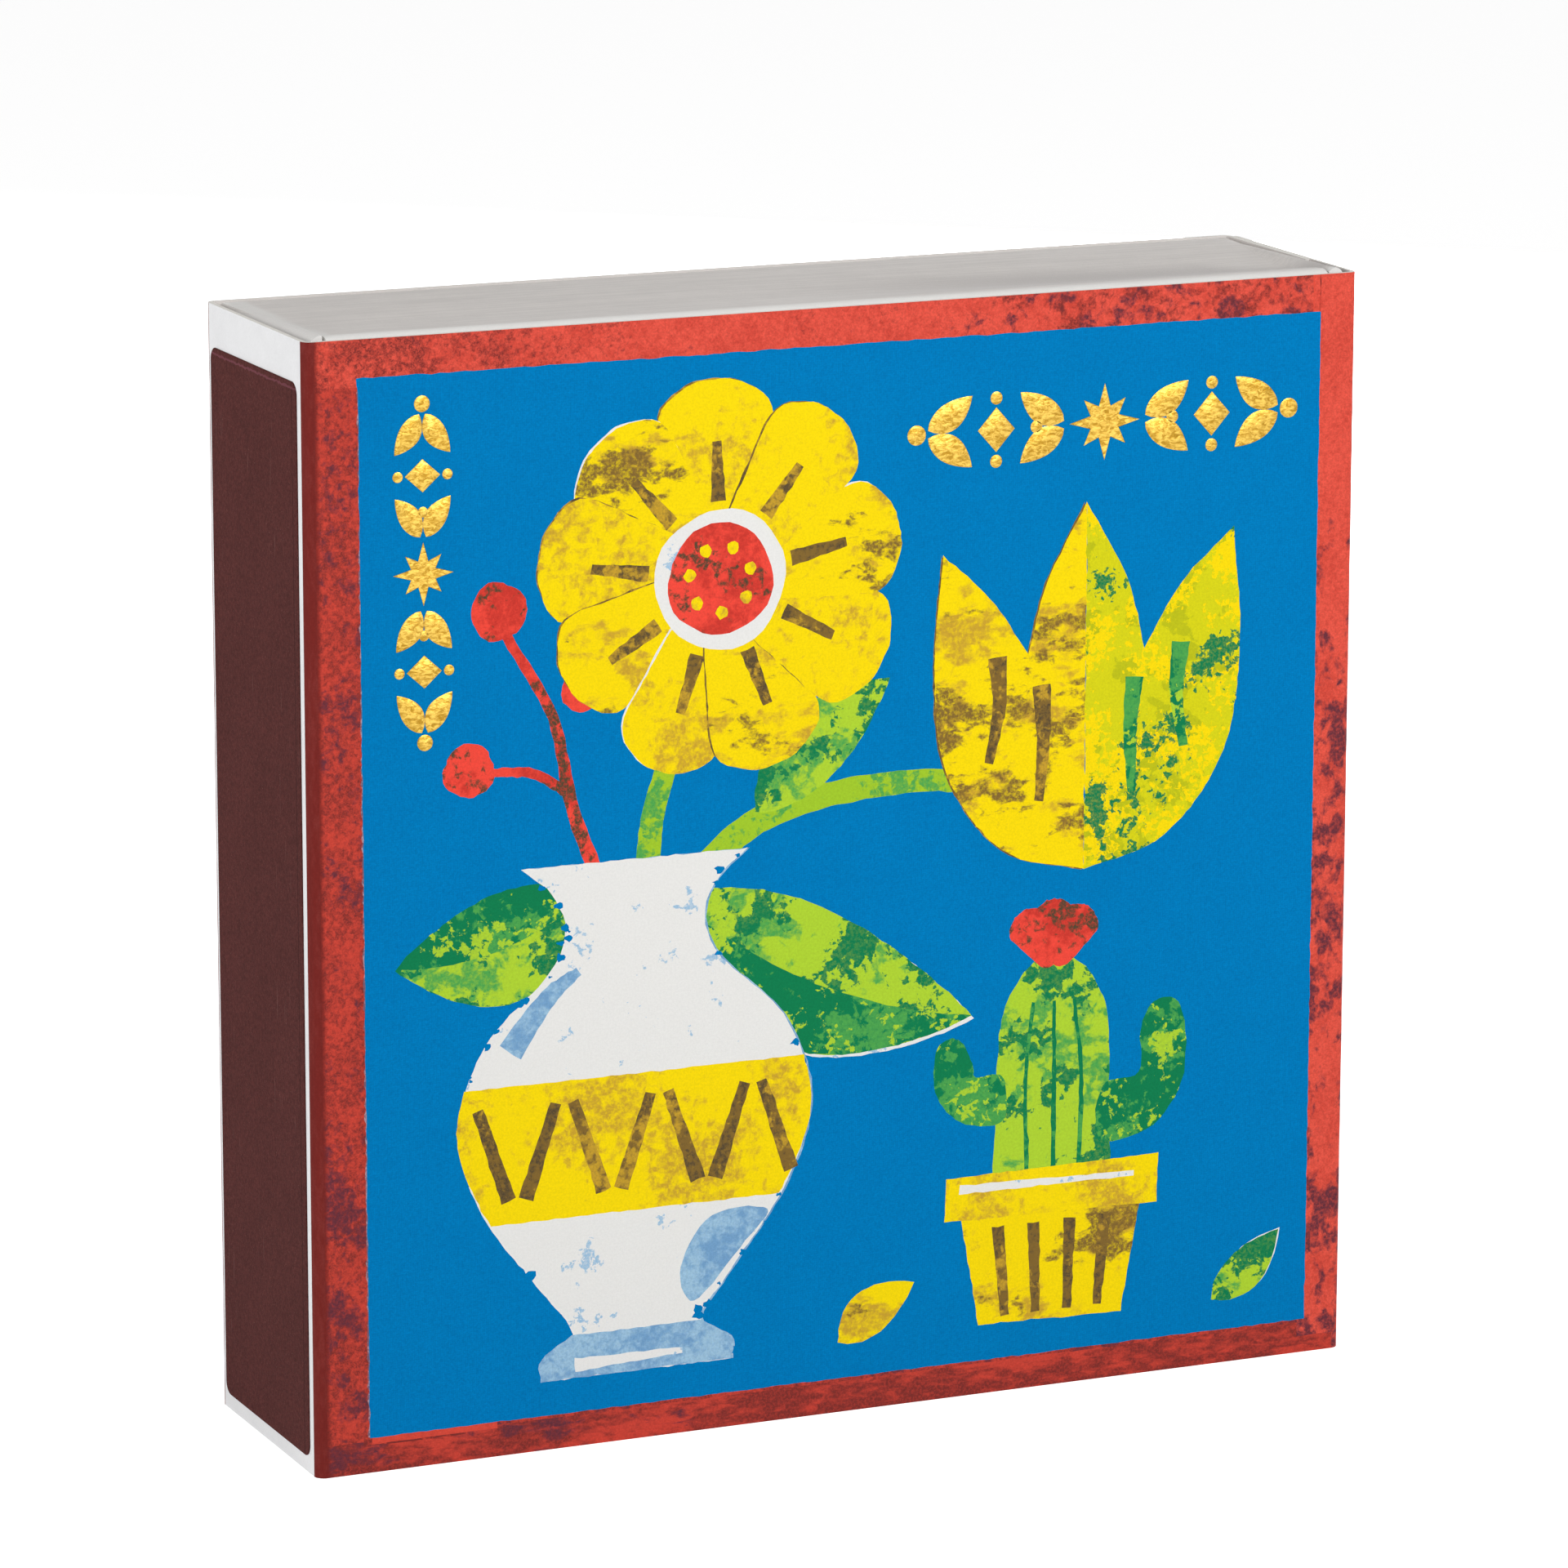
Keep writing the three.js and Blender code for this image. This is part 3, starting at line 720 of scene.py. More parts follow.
def piece(name, mesh, materials, body, *nodes, smooth):
    """Makes an object of a bmesh, with its materials, riding on its body and standing for the CAD nodes. Edges
    whose faces meet at more than smooth degrees are sharp."""
    bmesh.ops.recalc_face_normals(mesh, faces=mesh.faces)
    for face in mesh.faces:
        face.smooth = True
    for edge in mesh.edges:
        edge.smooth = len(edge.link_faces) == 2 and edge.calc_face_angle(0.0) < math.radians(smooth)
    made = shaped(name, mesh)
    for material in materials:
        made.data.materials.append(material)
    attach(made, body)
    if nodes:
        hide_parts(*nodes)


def arc(cx, cy, radius, start, end, steps=FOLD_STEPS):
    """Points round a centre from one angle to another, in degrees, ends included."""
    angles = [math.radians(start + (end - start) * i / steps) for i in range(steps + 1)]
    return [(cx + radius * math.cos(angle), cy + radius * math.sin(angle)) for angle in angles]


def eased(share):
    """A share from 0 to 1 with a slow start and a slow end."""
    share = min(1.0, max(0.0, share))
    return share * share * (3 - 2 * share)


def inside(point, outline):
    """True if the point lies within the outline."""
    x, y = point
    found = False
    for (ax, ay), (bx, by) in zip(outline, outline[1:] + outline[:1]):
        if (ay > y) != (by > y) and x < ax + (bx - ax) * (y - ay) / (by - ay):
            found = not found
    return found


def partition(loops):
    """The points and the triangles that fill the plane round the loops' edges, each triangle as its corners'
    numbers and its middle."""
    points, edges = [], []
    for loop in loops:
        first, count = len(points), len(loop)
        points += [Vector(p) for p in loop]
        edges += [(first + i, first + (i + 1) % count) for i in range(count)]
    filled = delaunay_2d_cdt(points, edges, [], 0, 1e-9)
    points = filled[0]
    return points, [(corners, sum((points[k] for k in corners), Vector((0, 0))) / 3) for corners in filled[2]]


def tube(mesh, rings, slot=0, capped=True):
    """A skin over rings of vertices, one after the other, with a face over each end if it is capped."""
    count = len(rings[0])
    for lower, upper in zip(rings, rings[1:]):
        for i in range(count):
            j = (i + 1) % count
            mesh.faces.new((lower[i], lower[j], upper[j], upper[i])).material_index = slot
    if capped:
        mesh.faces.new(rings[0][::-1]).material_index = slot
        mesh.faces.new(rings[-1]).material_index = slot


def plate(mesh, outline, lift, slope, rise):
    """A closed plate on an outline: lifted by a vector, then its edge slopes in by slope and up by rise."""
    raised = bmesh.ops.extrude_face_region(mesh, geom=[mesh.faces.new([mesh.verts.new(p) for p in outline])])["geom"]
    top = [f for f in raised if isinstance(f, bmesh.types.BMFace)]
    bmesh.ops.translate(mesh, verts=[v for v in raised if isinstance(v, bmesh.types.BMVert)], vec=lift)
    bmesh.ops.recalc_face_normals(mesh, faces=mesh.faces)
    bmesh.ops.inset_region(mesh, faces=top, thickness=slope, depth=rise)


def in_order(mesh):
    """Lists the faces by their corners' numbers, as an extrusion lists them in another order in each run."""
    mesh.verts.index_update()
    for i, face in enumerate(sorted(mesh.faces, key=lambda face: sorted(v.index for v in face.verts))):
        face.index = i
    mesh.faces.sort()


def prism(outline, start, end, place=lambda x, y, z: (x, y, z)):
    """A closed bmesh of an outline in two axes, run along the third; place(a, b, c) gives the point."""
    mesh = bmesh.new()
    tube(mesh, [[mesh.verts.new(place(a, b, level)) for a, b in outline] for level in (start, end)])
    bmesh.ops.recalc_face_normals(mesh, faces=mesh.faces)
    return mesh


def combined(first, second, operation):
    """The union or difference of two closed bmeshes, as a bmesh."""
    holders = [shaped("scratch", mesh) for mesh in (first, second)]
    cut = holders[0].modifiers.new("cut", "BOOLEAN")
    cut.operation = operation
    cut.solver = "EXACT"
    cut.object = holders[1]
    shown = holders[0].evaluated_get(bpy.context.evaluated_depsgraph_get())
    result = bmesh.new()
    result.from_mesh(shown.to_mesh())
    shown.to_mesh_clear()
    for holder in holders:
        data = holder.data
        bpy.data.objects.remove(holder)
        bpy.data.meshes.remove(data)
    return result


def sleeve_loops():
    """The sleeve's section from above: its outer outline in named stretches, and its inner outline."""
    w, d, t, r = HALF_WIDTH, HALF_DEPTH, SLEEVE_BOARD, SLEEVE_FOLD
    seam = w - t - r
    stretches = [
        ("front_left_fold", arc(-w + r, -d + r, r, 180, 270)),
        ("front_right_fold", arc(w - r, -d + r, r, 270, 360)),
        ("seam", [(w, d - SEAM_SETBACK), (w - t, d - SEAM_SETBACK)]),
        ("back_right_fold", arc(seam, d - r, r, 0, 90)),
        ("back_left_fold", arc(-w + r, d - r, r, 90, 180)),
    ]
    inner = [
        *arc(-w + r, -d + r, r - t, 180, 270, 4),
        *arc(w - r, -d + r, r - t, 270, 360, 4),
        (w - t, d - GLUE_FLAP),
        (w - 2 * t, d - GLUE_FLAP),
        *arc(seam, d - r, r - t, 0, 90, 4),
        *arc(-w + r, d - r, r - t, 90, 180, 4),
    ]
    return stretches, inner


def close_runs(mesh):
    """Splits each open edge at the vertices that lie on it, so that the print's panels share every point with
    the folds and cut edges round them, and joins them."""
    open_edges = [e for e in mesh.edges if len(e.link_faces) == 1]
    places = [v.co.copy() for v in {v for e in open_edges for v in e.verts}]
    for edge in open_edges:
        start, end = edge.verts
        origin, run = start.co.copy(), end.co - start.co
        shares = []
        for place in places:
            share = (place - origin).dot(run) / run.length_squared
            if 1e-5 < share < 1 - 1e-5 and (place - origin - run * share).length < WELD:
                shares.append(share)
        done = 0.0
        for share in sorted(shares):
            _, start = bmesh.utils.edge_split(edge, start, (share - done) / (1 - done))
            edge = next(e for e in start.link_edges if end in e.verts)
            done = share
    bmesh.ops.remove_doubles(mesh, verts=mesh.verts, dist=WELD)


def printed_panel(left, right, rows, motifs):
    """A broad panel cut along the print's outlines: its points, and its triangles, each with its ink."""
    top = HEIGHT / MM
    sheet = [(left, z / MM) for z in rows] + [(right, z / MM) for z in reversed(rows)]
    layers = [("red_left", sheet)] + border_strips(left, right, top) + motifs
    points, triangles = partition([loop for _, loop in layers])
    covers = []
    for ink, loop in reversed(layers):
        xs, zs = zip(*loop)
        covers.append((ink, [tuple(p) for p in loop], min(xs), max(xs), min(zs), max(zs)))
    found = []
    for corners, middle in triangles:
        if left < middle.x < right and 0 < middle.y < top:
            for ink, loop, x0, x1, z0, z1 in covers:
                if x0 <= middle.x <= x1 and z0 <= middle.y <= z1 and inside(middle, loop):
                    found.append((corners, ink))
                    break
    return points, found


def sleeve_piece(materials):
    """The sleeve as one closed mesh. Its front and back are cut along the print's outlines, so each ink is
    a region of the card's own surface."""
    slots = list(materials)
    mesh = bmesh.new()
    stretches, inner = sleeve_loops()
    rows = [HEIGHT * i / FOLD_ROWS for i in range(FOLD_ROWS + 1)]
    outer = [point for _, points in stretches for point in points]
    kinds = [name for name, points in stretches for _ in points]
    count = len(outer)

    def face(corners, slot):
        mesh.faces.new(corners).material_index = slots.index(slot)

    # The folds are a little worn.
    wear = {}
    for row in range(1, FOLD_ROWS):
        for i in range(1, count - 1):
            if kinds[i].endswith("fold") and kinds[i - 1] == kinds[i] == kinds[i + 1]:
                wear[i, row] = -rng.random() ** 2 * FOLD_WEAR
    columns = []
    for i, (x, y) in enumerate(outer):
        corner = (math.copysign(HALF_WIDTH - SLEEVE_FOLD, x), math.copysign(HALF_DEPTH - SLEEVE_FOLD, y))
        reach = Vector((x - corner[0], y - corner[1])).normalized()
        shifts = [reach * wear.get((i, row), 0.0) for row in range(FOLD_ROWS + 1)]
        columns.append([mesh.verts.new((x + shift.x, y + shift.y, z)) for shift, z in zip(shifts, rows)])

    # Walls round the outer loop, in rows, except the two broad panels.
    broad = {}
    for i in range(count):
        j = (i + 1) % count
        same = kinds[i] == kinds[j]
        if (kinds[i], kinds[j]) in (("front_left_fold", "front_right_fold"), ("back_right_fold", "back_left_fold")):
            broad[kinds[i].split("_")[0]] = (outer[i], outer[j])
            continue
        slot = "coated"
        # The rounded folds, all but the front right one, take the fold ink, which is painted shade.
        if same and kinds[i].endswith("fold"):
            slot = "red_right" if kinds[i] == "front_right_fold" else "fold"
        elif same:
            slot = "edge"
        for row in range(FOLD_ROWS):
            face((columns[i][row], columns[j][row], columns[j][row + 1], columns[i][row + 1]), slot)

    # The inner wall.
    low, high = ([mesh.verts.new((x, y, z)) for x, y in inner] for z in (0.0, HEIGHT))
    for i in range(len(inner)):
        j = (i + 1) % len(inner)
        face((low[j], low[i], high[i], high[j]), "bare")

    # The cut edges at the two mouths.
    points, triangles = partition([outer, inner])
    for z in (0.0, HEIGHT):
        made = [mesh.verts.new((p.x, p.y, z)) for p in points]
        for corners, middle in triangles:
            if inside(middle, outer) and not inside(middle, inner):
                face([made[k] for k in corners], "edge")

    # The printed front and back.
    for side, motifs, turn in (("front", flowers_and_pots(), 1), ("back", [], -1)):
        ends = sorted(broad[side])
        points, triangles = printed_panel(ends[0][0] / MM, ends[1][0] / MM, rows, motifs)
        made = [mesh.verts.new((p.x * MM, broad[side][0][1], p.y * MM)) for p in points]
        for corners, ink in triangles:
            face([made[k] for k in corners][::turn], ink)
    bmesh.ops.remove_doubles(mesh, verts=mesh.verts, dist=WELD)
    bmesh.ops.delete(mesh, geom=[v for v in mesh.verts if not v.link_faces], context="VERTS")
    close_runs(mesh)
    piece("sleeve_card", mesh, materials.values(), "sleeve", "sleeve", smooth=20)


def foil_piece(name, figures, centre, upright, material):
    """Foil figures pressed on the front: closed, with sloping edges."""
    mesh = bmesh.new()
    for outline in figures:
        if upright:
            outline = [p.orthogonal() for p in outline]
        loop = [((centre[0] + p.x) * MM, -HALF_DEPTH + FOIL_PRESS, (centre[1] + p.y) * MM) for p in outline]
        plate(mesh, loop, (0, -FOIL_PRESS - FOIL_RELIEF * 0.35, 0), FOIL_SLOPE, FOIL_RELIEF * 0.65)
    in_order(mesh)
    piece(name, mesh, [material], "sleeve", smooth=40)


def striker_piece(name, node, material):
    """A striking strip with a rounded rim, standing for its CAD node."""
    low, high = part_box(node)
    r = STRIKER_CORNER
    corners = ((low.y + r, low.z + r), (high.y - r, low.z + r), (high.y - r, high.z - r), (low.y + r, high.z - r))
    outline = [p for (y, z), start in zip(corners, (180, 270, 0, 90)) for p in arc(y, z, r, start, start + 90, 10)]
    inner_x, outer_x = (high.x, low.x) if low.x < 0 else (low.x, high.x)
    thickness = outer_x - inner_x
    mesh = bmesh.new()
    loop = [(inner_x, y, z) for y, z in outline]
    plate(mesh, loop, (thickness * 0.6, 0, 0), abs(thickness) * 0.6, abs(thickness) * 0.4)
    in_order(mesh)
    piece(name, mesh, [material], "sleeve", node, smooth=30)


def end_panel_drop(share, across, end):
    """How far the end panel's face lies below its crest, in metres: share runs from the crest (0) to the back
    fold (1), across from the left edge (0) to the right (1). The upper panel sags more at its right."""
    behind = share * (tray_high.y - TRAY_FOLD - tray_low.y - RIM_REACH)
    lean = eased((across - 0.35) / 0.55) if end > 0 else 0.0
    sag = RIM_CREST + PANEL_SAG[0] + (PANEL_SAG[1] - PANEL_SAG[0]) * lean
    rise = eased((behind - PANEL_VALLEY) / PANEL_RISE)
    return sag * eased(behind / PANEL_VALLEY) + (RIM_CREST + PANEL_DIP - sag) * rise


def rim_roll():
    """The roll of an end wall's rim from its crest down to the tucked panel, as (y, distance below the crest)
    points: its outer face and the same face one board further in."""
    rim = tray_low.y
    crest = rim + RIM_REACH
    start = rim + RIM_TIGHT - RIM_TIGHT * math.sin(RIM_SLOPE)
    bend = math.tan(RIM_SLOPE) / (2 * (crest - start))
    outer = [(crest - (crest - start) * i / 8, bend * ((crest - start) * i / 8) ** 2) for i in range(9)]
    centre = (start + RIM_TIGHT * math.sin(RIM_SLOPE), outer[-1][1] + RIM_TIGHT * math.cos(RIM_SLOPE))
    for i in range(1, 9):
        angle = RIM_SLOPE + (math.pi / 2 - RIM_SLOPE) * i / 8
        outer.append((centre[0] - RIM_TIGHT * math.sin(angle), centre[1] - RIM_TIGHT * math.cos(angle)))
    deep = 2 * END_ROLL + RIM_CREST - centre[1]
    for i in range(1, 13):
        angle = math.pi / 2 * i / 12
        outer.append((rim + END_ROLL * (1 - math.cos(angle)), centre[1] + deep * math.sin(angle)))
    inner = []
    for i, (y, down) in enumerate(outer):
        before, after = outer[max(i - 1, 0)], outer[min(i + 1, len(outer) - 1)]
        along = Vector((after[0] - before[0], after[1] - before[1])).normalized()
        inner.append((y + along.y * TRAY_BOARD, down - along.x * TRAY_BOARD))
    return outer, inner


def end_wall_outlines():
    """The strip of card that makes the floor and both rolled ends, in y and z, at the middle of its width.
    Each point carries how far it belongs to an end panel's face: (y, z, share, end)."""
    crest_y, fold_y = tray_low.y + RIM_REACH, tray_high.y - TRAY_FOLD
    tuck = tray_high.y - TRAY_BOARD - TUCK_GAP
    outer, inner = rim_roll()

    def fixed(points):
        return [(y, z, None, 0) for y, z in points]

    def panel(level, end):
        shares = [(i / 22) ** 1.35 for i in range(1, 23)]
        return [(crest_y + (fold_y - crest_y) * share, level, share, end) for share in shares]

    def end_wall(level, end):
        """One rolled end from the back fold's outside round to its inside."""
        crest = level + end * RIM_CREST
        fold = level - end * (PANEL_DIP + TRAY_FOLD)
        tucked = level - end * 2 * END_ROLL
        turns = [math.radians(a) for a in range(0, 85, 14)]
        bent, inner_bent = (
            [(fold_y + r * math.cos(turn), fold + end * r * math.sin(turn)) for turn in turns]
            for r in (TRAY_FOLD, TRAY_FOLD - TRAY_BOARD)
        )
        return [
            *fixed(bent),
            *reversed(panel(crest, end)),
            *fixed((y, crest - end * down) for y, down in outer),
            *fixed([(tuck, tucked), (tuck, tucked + end * TRAY_BOARD)]),
            *fixed((y, crest - end * down) for y, down in reversed(inner)),
            *panel(crest - end * TRAY_BOARD, end),
            *fixed(reversed(inner_bent)),
        ]

    return end_wall(tray_high.z, 1) + end_wall(tray_low.z, -1)[::-1]


def end_walls():
    """The floor and both rolled end walls, tapering towards the rim, as one closed bmesh."""
    left, right = tray_low.x, tray_high.x + PRESSED
    points = end_wall_outlines()
    edge = [0, 0.004, 0.009, 0.016, 0.028, 0.05, 0.09, 0.15]
    mesh = bmesh.new()
    rings = []
    for s in [*edge, *[i / 14 for i in range(3, 12)], *[1 - s for s in reversed(edge)]]:
        ring = []
        for y, z, share, end in points:
            toward_rim = (tray_high.y - y) / (tray_high.y - tray_low.y)
            inset = PANEL_FLOOR_INSET + (PANEL_RIM_INSET - PANEL_FLOOR_INSET) * toward_rim
            x = left + inset + (right - left - 2 * inset) * s
            if share is not None:
                near = min(s, 1 - s) * (right - left)
                dent = EDGE_DENT * max(0.0, 1 - near / EDGE_DENT_WIDTH) * min(1.0, share * 6)
                z -= end * (end_panel_drop(share, s, end) + dent)
            ring.append(mesh.verts.new((x, y, z)))
        rings.append(ring)
    tube(mesh, rings)
    bmesh.ops.recalc_face_normals(mesh, faces=mesh.faces)
    return mesh


def ear_wall(side, inward, e):
    """A side wall with its two ears, each with a fold of radius e. Each ear's fold bulges up beside the end panel
    and then dives under it."""
    t = TRAY_BOARD
    foot, top = tray_low.z, tray_high.z - PANEL_DIP + EAR_CREST
    dive = TRAY_BOARD + EAR_CREST
    steps = 14

    def ear(level, end, inset):
        """An ear's outer face, or the face a board further in: round the fold and along, then down by the dive."""
        angles = (270, 360) if end > 0 else (270, 180)
        slope = [(level - end * (inset + dive * eased(i / 5)), e + 1.5 * MM * i / 5) for i in range(1, 6)]
        return arc(level - end * e, e, e - inset, *angles, steps) + slope

    bent = [
        *reversed(ear(foot, -1, 0)),
        *ear(top, 1, 0),
        (top - dive, EAR_LENGTH),
        (top - t - dive, EAR_LENGTH),
        *reversed(ear(top, 1, t)),
        *ear(foot, -1, t),
        (foot + t + dive, EAR_LENGTH),
        (foot + dive, EAR_LENGTH),
    ]
    rim, floor = tray_low.y + t, tray_high.y - t

    def place(z, depth, y):
        if y == floor:
            z -= math.copysign(EAR_SINK, z - (foot + top) / 2)
        return (side + inward * depth, y, z)

    return prism(bent, rim, floor, place)


def tray_piece(material):
    """The tray, folded from one sheet: floor, side walls with ears, and rolled double end walls."""
    left, right = tray_low.x, tray_high.x + PRESSED
    rim, back = tray_low.y, tray_high.y
    foot, top = tray_low.z, tray_high.z
    t, r, roll = TRAY_BOARD, TRAY_FOLD, END_ROLL
    section = [
        (left, rim), (left + t, rim),
        *arc(left + r, back - r, r - t, 180, 90),
        *arc(right - r, back - r, r - t, 90, 0),
        (right - t, rim), (right, rim),
        *arc(right - r, back - r, r, 0, 90),
        *arc(left + r, back - r, r, 90, 180),
    ]
    channel = prism(section, foot + PANEL_DIP + t + EAR_FOLD, top - PANEL_DIP - t - EAR_FOLD)
    whole = combined(end_walls(), channel, "UNION")
    for side, inward, fold in ((left, 1, EAR_FOLD), (right, -1, EAR_FOLD_TIGHT)):
        wall = ear_wall(side, inward, fold)
        near = side + inward * (PANEL_RIM_INSET - SLIDING_GAP)
        far = side + inward * (EAR_LENGTH + t)
        # The ears are cut back where the rim rolls over them.
        for z0, z1 in ((foot - t, foot + 2 * roll - t), (top - 2 * roll + t, top + t)):
            block = prism([(near, rim - t), (far, rim - t), (far, rim + roll), (near, rim + roll)], z0, z1)
            wall = combined(wall, block, "DIFFERENCE")
        whole = combined(whole, wall, "UNION")
    bmesh.ops.remove_doubles(whole, verts=whole.verts, dist=WELD)
    piece("tray_card", whole, [material], "tray", "tray", smooth=28)


def match_mesh(mesh, low, high):
    """One match between the corners of its CAD solid: a slightly uneven square stick in the first material and
    a dipped head in the second."""
    wood, head = 0, 1
    x, y = (low.x + high.x) / 2, (low.y + high.y) / 2
    far, near = STICK / 2, STICK / 2 - STICK_CHAMFER
    corners = (
        (far, -near), (far, near), (near, far), (-near, far), (-far, near), (-far, -near), (-near, -far), (near, -far),
    )
    lean = Vector((rng.uniform(-0.05, 0.05), rng.uniform(-0.05, 0.05))) * MM
    levels = 7
    stick_top = high.z - HEAD_LENGTH * 0.62
    rows = []
    for row in range(levels + 1):
        share = row / levels
        z = low.z + (stick_top - low.z) * share
        dx = lean.x * math.sin(math.pi * share) + rng.uniform(-0.02, 0.02) * MM
        dy = lean.y * math.sin(math.pi * share) + rng.uniform(-0.02, 0.02) * MM
        rows.append([mesh.verts.new((x + dx + cx, y + dy + cy, z)) for cx, cy in corners])
    tube(mesh, rows, wood)

    # The head: a closed drop round the stick's end, with its skirt running down the wood.
    radius = (high.x - low.x) / 2
    base = high.z - HEAD_LENGTH
    phase = rng.uniform(0, math.tau)
    rings = []
    for share, level in (
        (0.74, 0.0), (0.86, 0.1), (0.95, 0.24), (1.0, 0.42), (0.99, 0.6), (0.9, 0.77), (0.7, 0.9), (0.38, 0.975),
    ):
        ring = []
        for i in range(HEAD_SIDES):
            angle = math.tau * i / HEAD_SIDES
            r = radius * share * (1 - 0.03 * (1 + math.sin(2 * angle + phase)) * 0.5)
            drip = abs(0.12 * math.sin(angle + phase) * HEAD_LENGTH * (1 - level) ** 3)
            z = base + level * HEAD_LENGTH + drip
            ring.append(mesh.verts.new((x + r * math.cos(angle), y + r * math.sin(angle), z)))
        rings.append(ring)
    tube(mesh, rings, head, capped=False)
    tip = mesh.verts.new((x, y, high.z))
    under = mesh.verts.new((x, y, base + HEAD_LENGTH * 0.1))
    for i in range(HEAD_SIDES):
        j = (i + 1) % HEAD_SIDES
        mesh.faces.new((rings[-1][i], rings[-1][j], tip)).material_index = head
        mesh.faces.new((rings[0][j], rings[0][i], under)).material_index = head


def match_pieces(materials):
    singles = sorted(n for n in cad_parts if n.startswith("match_") and not n.startswith("match_row_"))
    rows = sorted(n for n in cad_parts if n.startswith("match_row_"))
    for node in singles:
        mesh = bmesh.new()
        match_mesh(mesh, *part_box(node))
        piece("long_" + node, mesh, materials, "tray", node, smooth=40)
    across = [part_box(node) for node in singles if node.startswith("match_1_")]
    for node in rows:
        low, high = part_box(node)
        mesh = bmesh.new()
        for near, far in across:
            drop = rng.uniform(0, 0.45) * MM
            match_mesh(mesh, Vector((near.x, low.y, low.z)), Vector((far.x, high.y, high.z - drop)))
        piece("long_matches" + node.removeprefix("match"), mesh, materials, "tray", node, smooth=40)


# The object

sleeve_materials = {
    "coated": board("coated_white_card", COATED_WHITE, 0.01, 0.6),
    "bare": board("bare_card_inside", BOARD_WHITE, 0.03),
    "edge": board("cut_card_edge", BOARD_EDGE, 0.05, 0.85),
}


def ink(name, tone, *coats, **more):
    """One of the print's inks, as a material of the sleeve."""
    sleeve_materials[name] = printed(name, tone, *coats, **more)


# The fold ink: painted shade of the rounded folds.
ink("fold", INK_PAINTED_FOLD_SHADE, Mottle(INK_MAROON, 0.4, 0.5, 0.5, stretch=(1, 1, 3), soft=0.15, thin=0.3))
ink(
    "red_left", INK_RED_DEEP,
    Mottle(INK_MAROON, 0.5, 0.45, 0.35, 12, soft=0.16, thin=0.3, shift=2),
    Mottle(INK_PLUM, 0.22, 1.0, 1.0, 8, soft=0.1, thin=0.5, shift=5),
    grain=0.12, fold=True,
)
ink(
    "red_top", INK_RED,
    Mottle(INK_RED_DEEP, 0.45, 0.5, 0.5, soft=0.2, shift=11),
    Mottle(INK_MAROON, 0.5, 0.45, 0.35, 12, soft=0.16, thin=0.3, shift=2, where=("X", -12, -44)),
    Mottle(INK_PLUM, 0.24, 1.1, 0.75, 2.4, (1, 1, 1.1), 0.09, 0.4, 13, ("X", -2, 26)),
    Mottle(INK_MAROON, 0.2, 0.7, 0.6, 4, soft=0.12, thin=0.35, shift=16, where=("X", 0, 22)),
    grain=0.13, fold=True,
)
ink(
    "red_right", INK_RED,
    Mottle(INK_RED_DEEP, 0.4, 0.5, 0.5, soft=0.2, shift=23),
    Mottle(INK_PLUM, 0.46, 1.3, 0.9, 4, (1, 1, 1.3), 0.08, 0.5, 27, ("Z", 92, 70)),
    grain=0.13, fold=True,
)
ink(
    "red_foot", INK_RED_DEEP,
    Mottle(INK_MAROON, 0.55, 0.9, 0.7, 6, (2.2, 1, 0.8), 0.14, 0.45, 35),
    Mottle(INK_PLUM, 0.3, 1.2, 0.9, 5, (2.4, 1, 0.8), 0.09, 0.5, 39, ("X", 8, -30)),
    grain=0.12, fold=True,
)
ink("red_light", colour(214, 74, 58), Mottle(INK_RED_DEEP, 0.3, 0.5, 0.5, soft=0.15, shift=6))
ink("red_deep", INK_MAROON, Mottle(INK_RED_DEEP, 0.4, 0.6, 0.5, soft=0.1, shift=7))
ink("grey_edge", colour(112, 88, 104), Mottle(colour(176, 150, 158), 0.4, 0.4, 0.3, soft=0.1))
ink("blue", INK_BLUE, Mottle(colour(0, 112, 174), 0.4, 0.5, 0.2, soft=0.25), screen=0.12, grain=0.1, gloss=0.02)
ink(
    "white", INK_WHITE, Mottle(colour(150, 186, 214), -0.3, 0.8, 1.3, 6, soft=0.02, shift=21),
    screen=0.012, grain=0.03,
)
ink("pale", INK_PALE, Mottle(INK_PALE_LIGHT, 0.55, 0.8, 0.5, soft=0.15, shift=4))
ink("yellow", INK_YELLOW, Mottle(INK_OCHRE, 0.22, 1.2, 0.8, soft=0.12, thin=0.3, shift=14), screen=0.02)
ink(
    "yellow_mottled", INK_YELLOW,
    Mottle(INK_OCHRE, 0.1, 1.4, 1.1, 4, (1.5, 1, 0.9), 0.1, 0.4, 33),
    Mottle(INK_BROWN, 0.02, 1.1, 1.2, 4.5, (1.6, 1, 0.9), 0.07, 0.4, 33),
    screen=0.02,
)
ink("stalk", INK_STALK, Mottle(INK_LEAF_MID, 0.22, 1.0, 1.0, shift=6), screen=0.02)
ink(
    "leaf_light", INK_LEAF,
    Mottle(INK_LEAF_MID, 0.3, 1.6, 0.8, 5, (1.2, 1, 1), 0.06, 0.6, 12),
    Mottle(INK_GREEN, 0.3, 1.1, 1.1, 5, (1.1, 1, 1), 0.02, 0.8, 12),
    screen=0.02,
)
ink(
    "leaf_dark", INK_GREEN,
    Mottle(INK_LEAF_MID, 0.42, 1.3, 0.8, 5, soft=0.04, shift=18),
    Mottle(INK_LEAF, 0.2, 0.9, 0.9, 6, soft=0.02, thin=0.8, shift=19),
    screen=0.02,
)
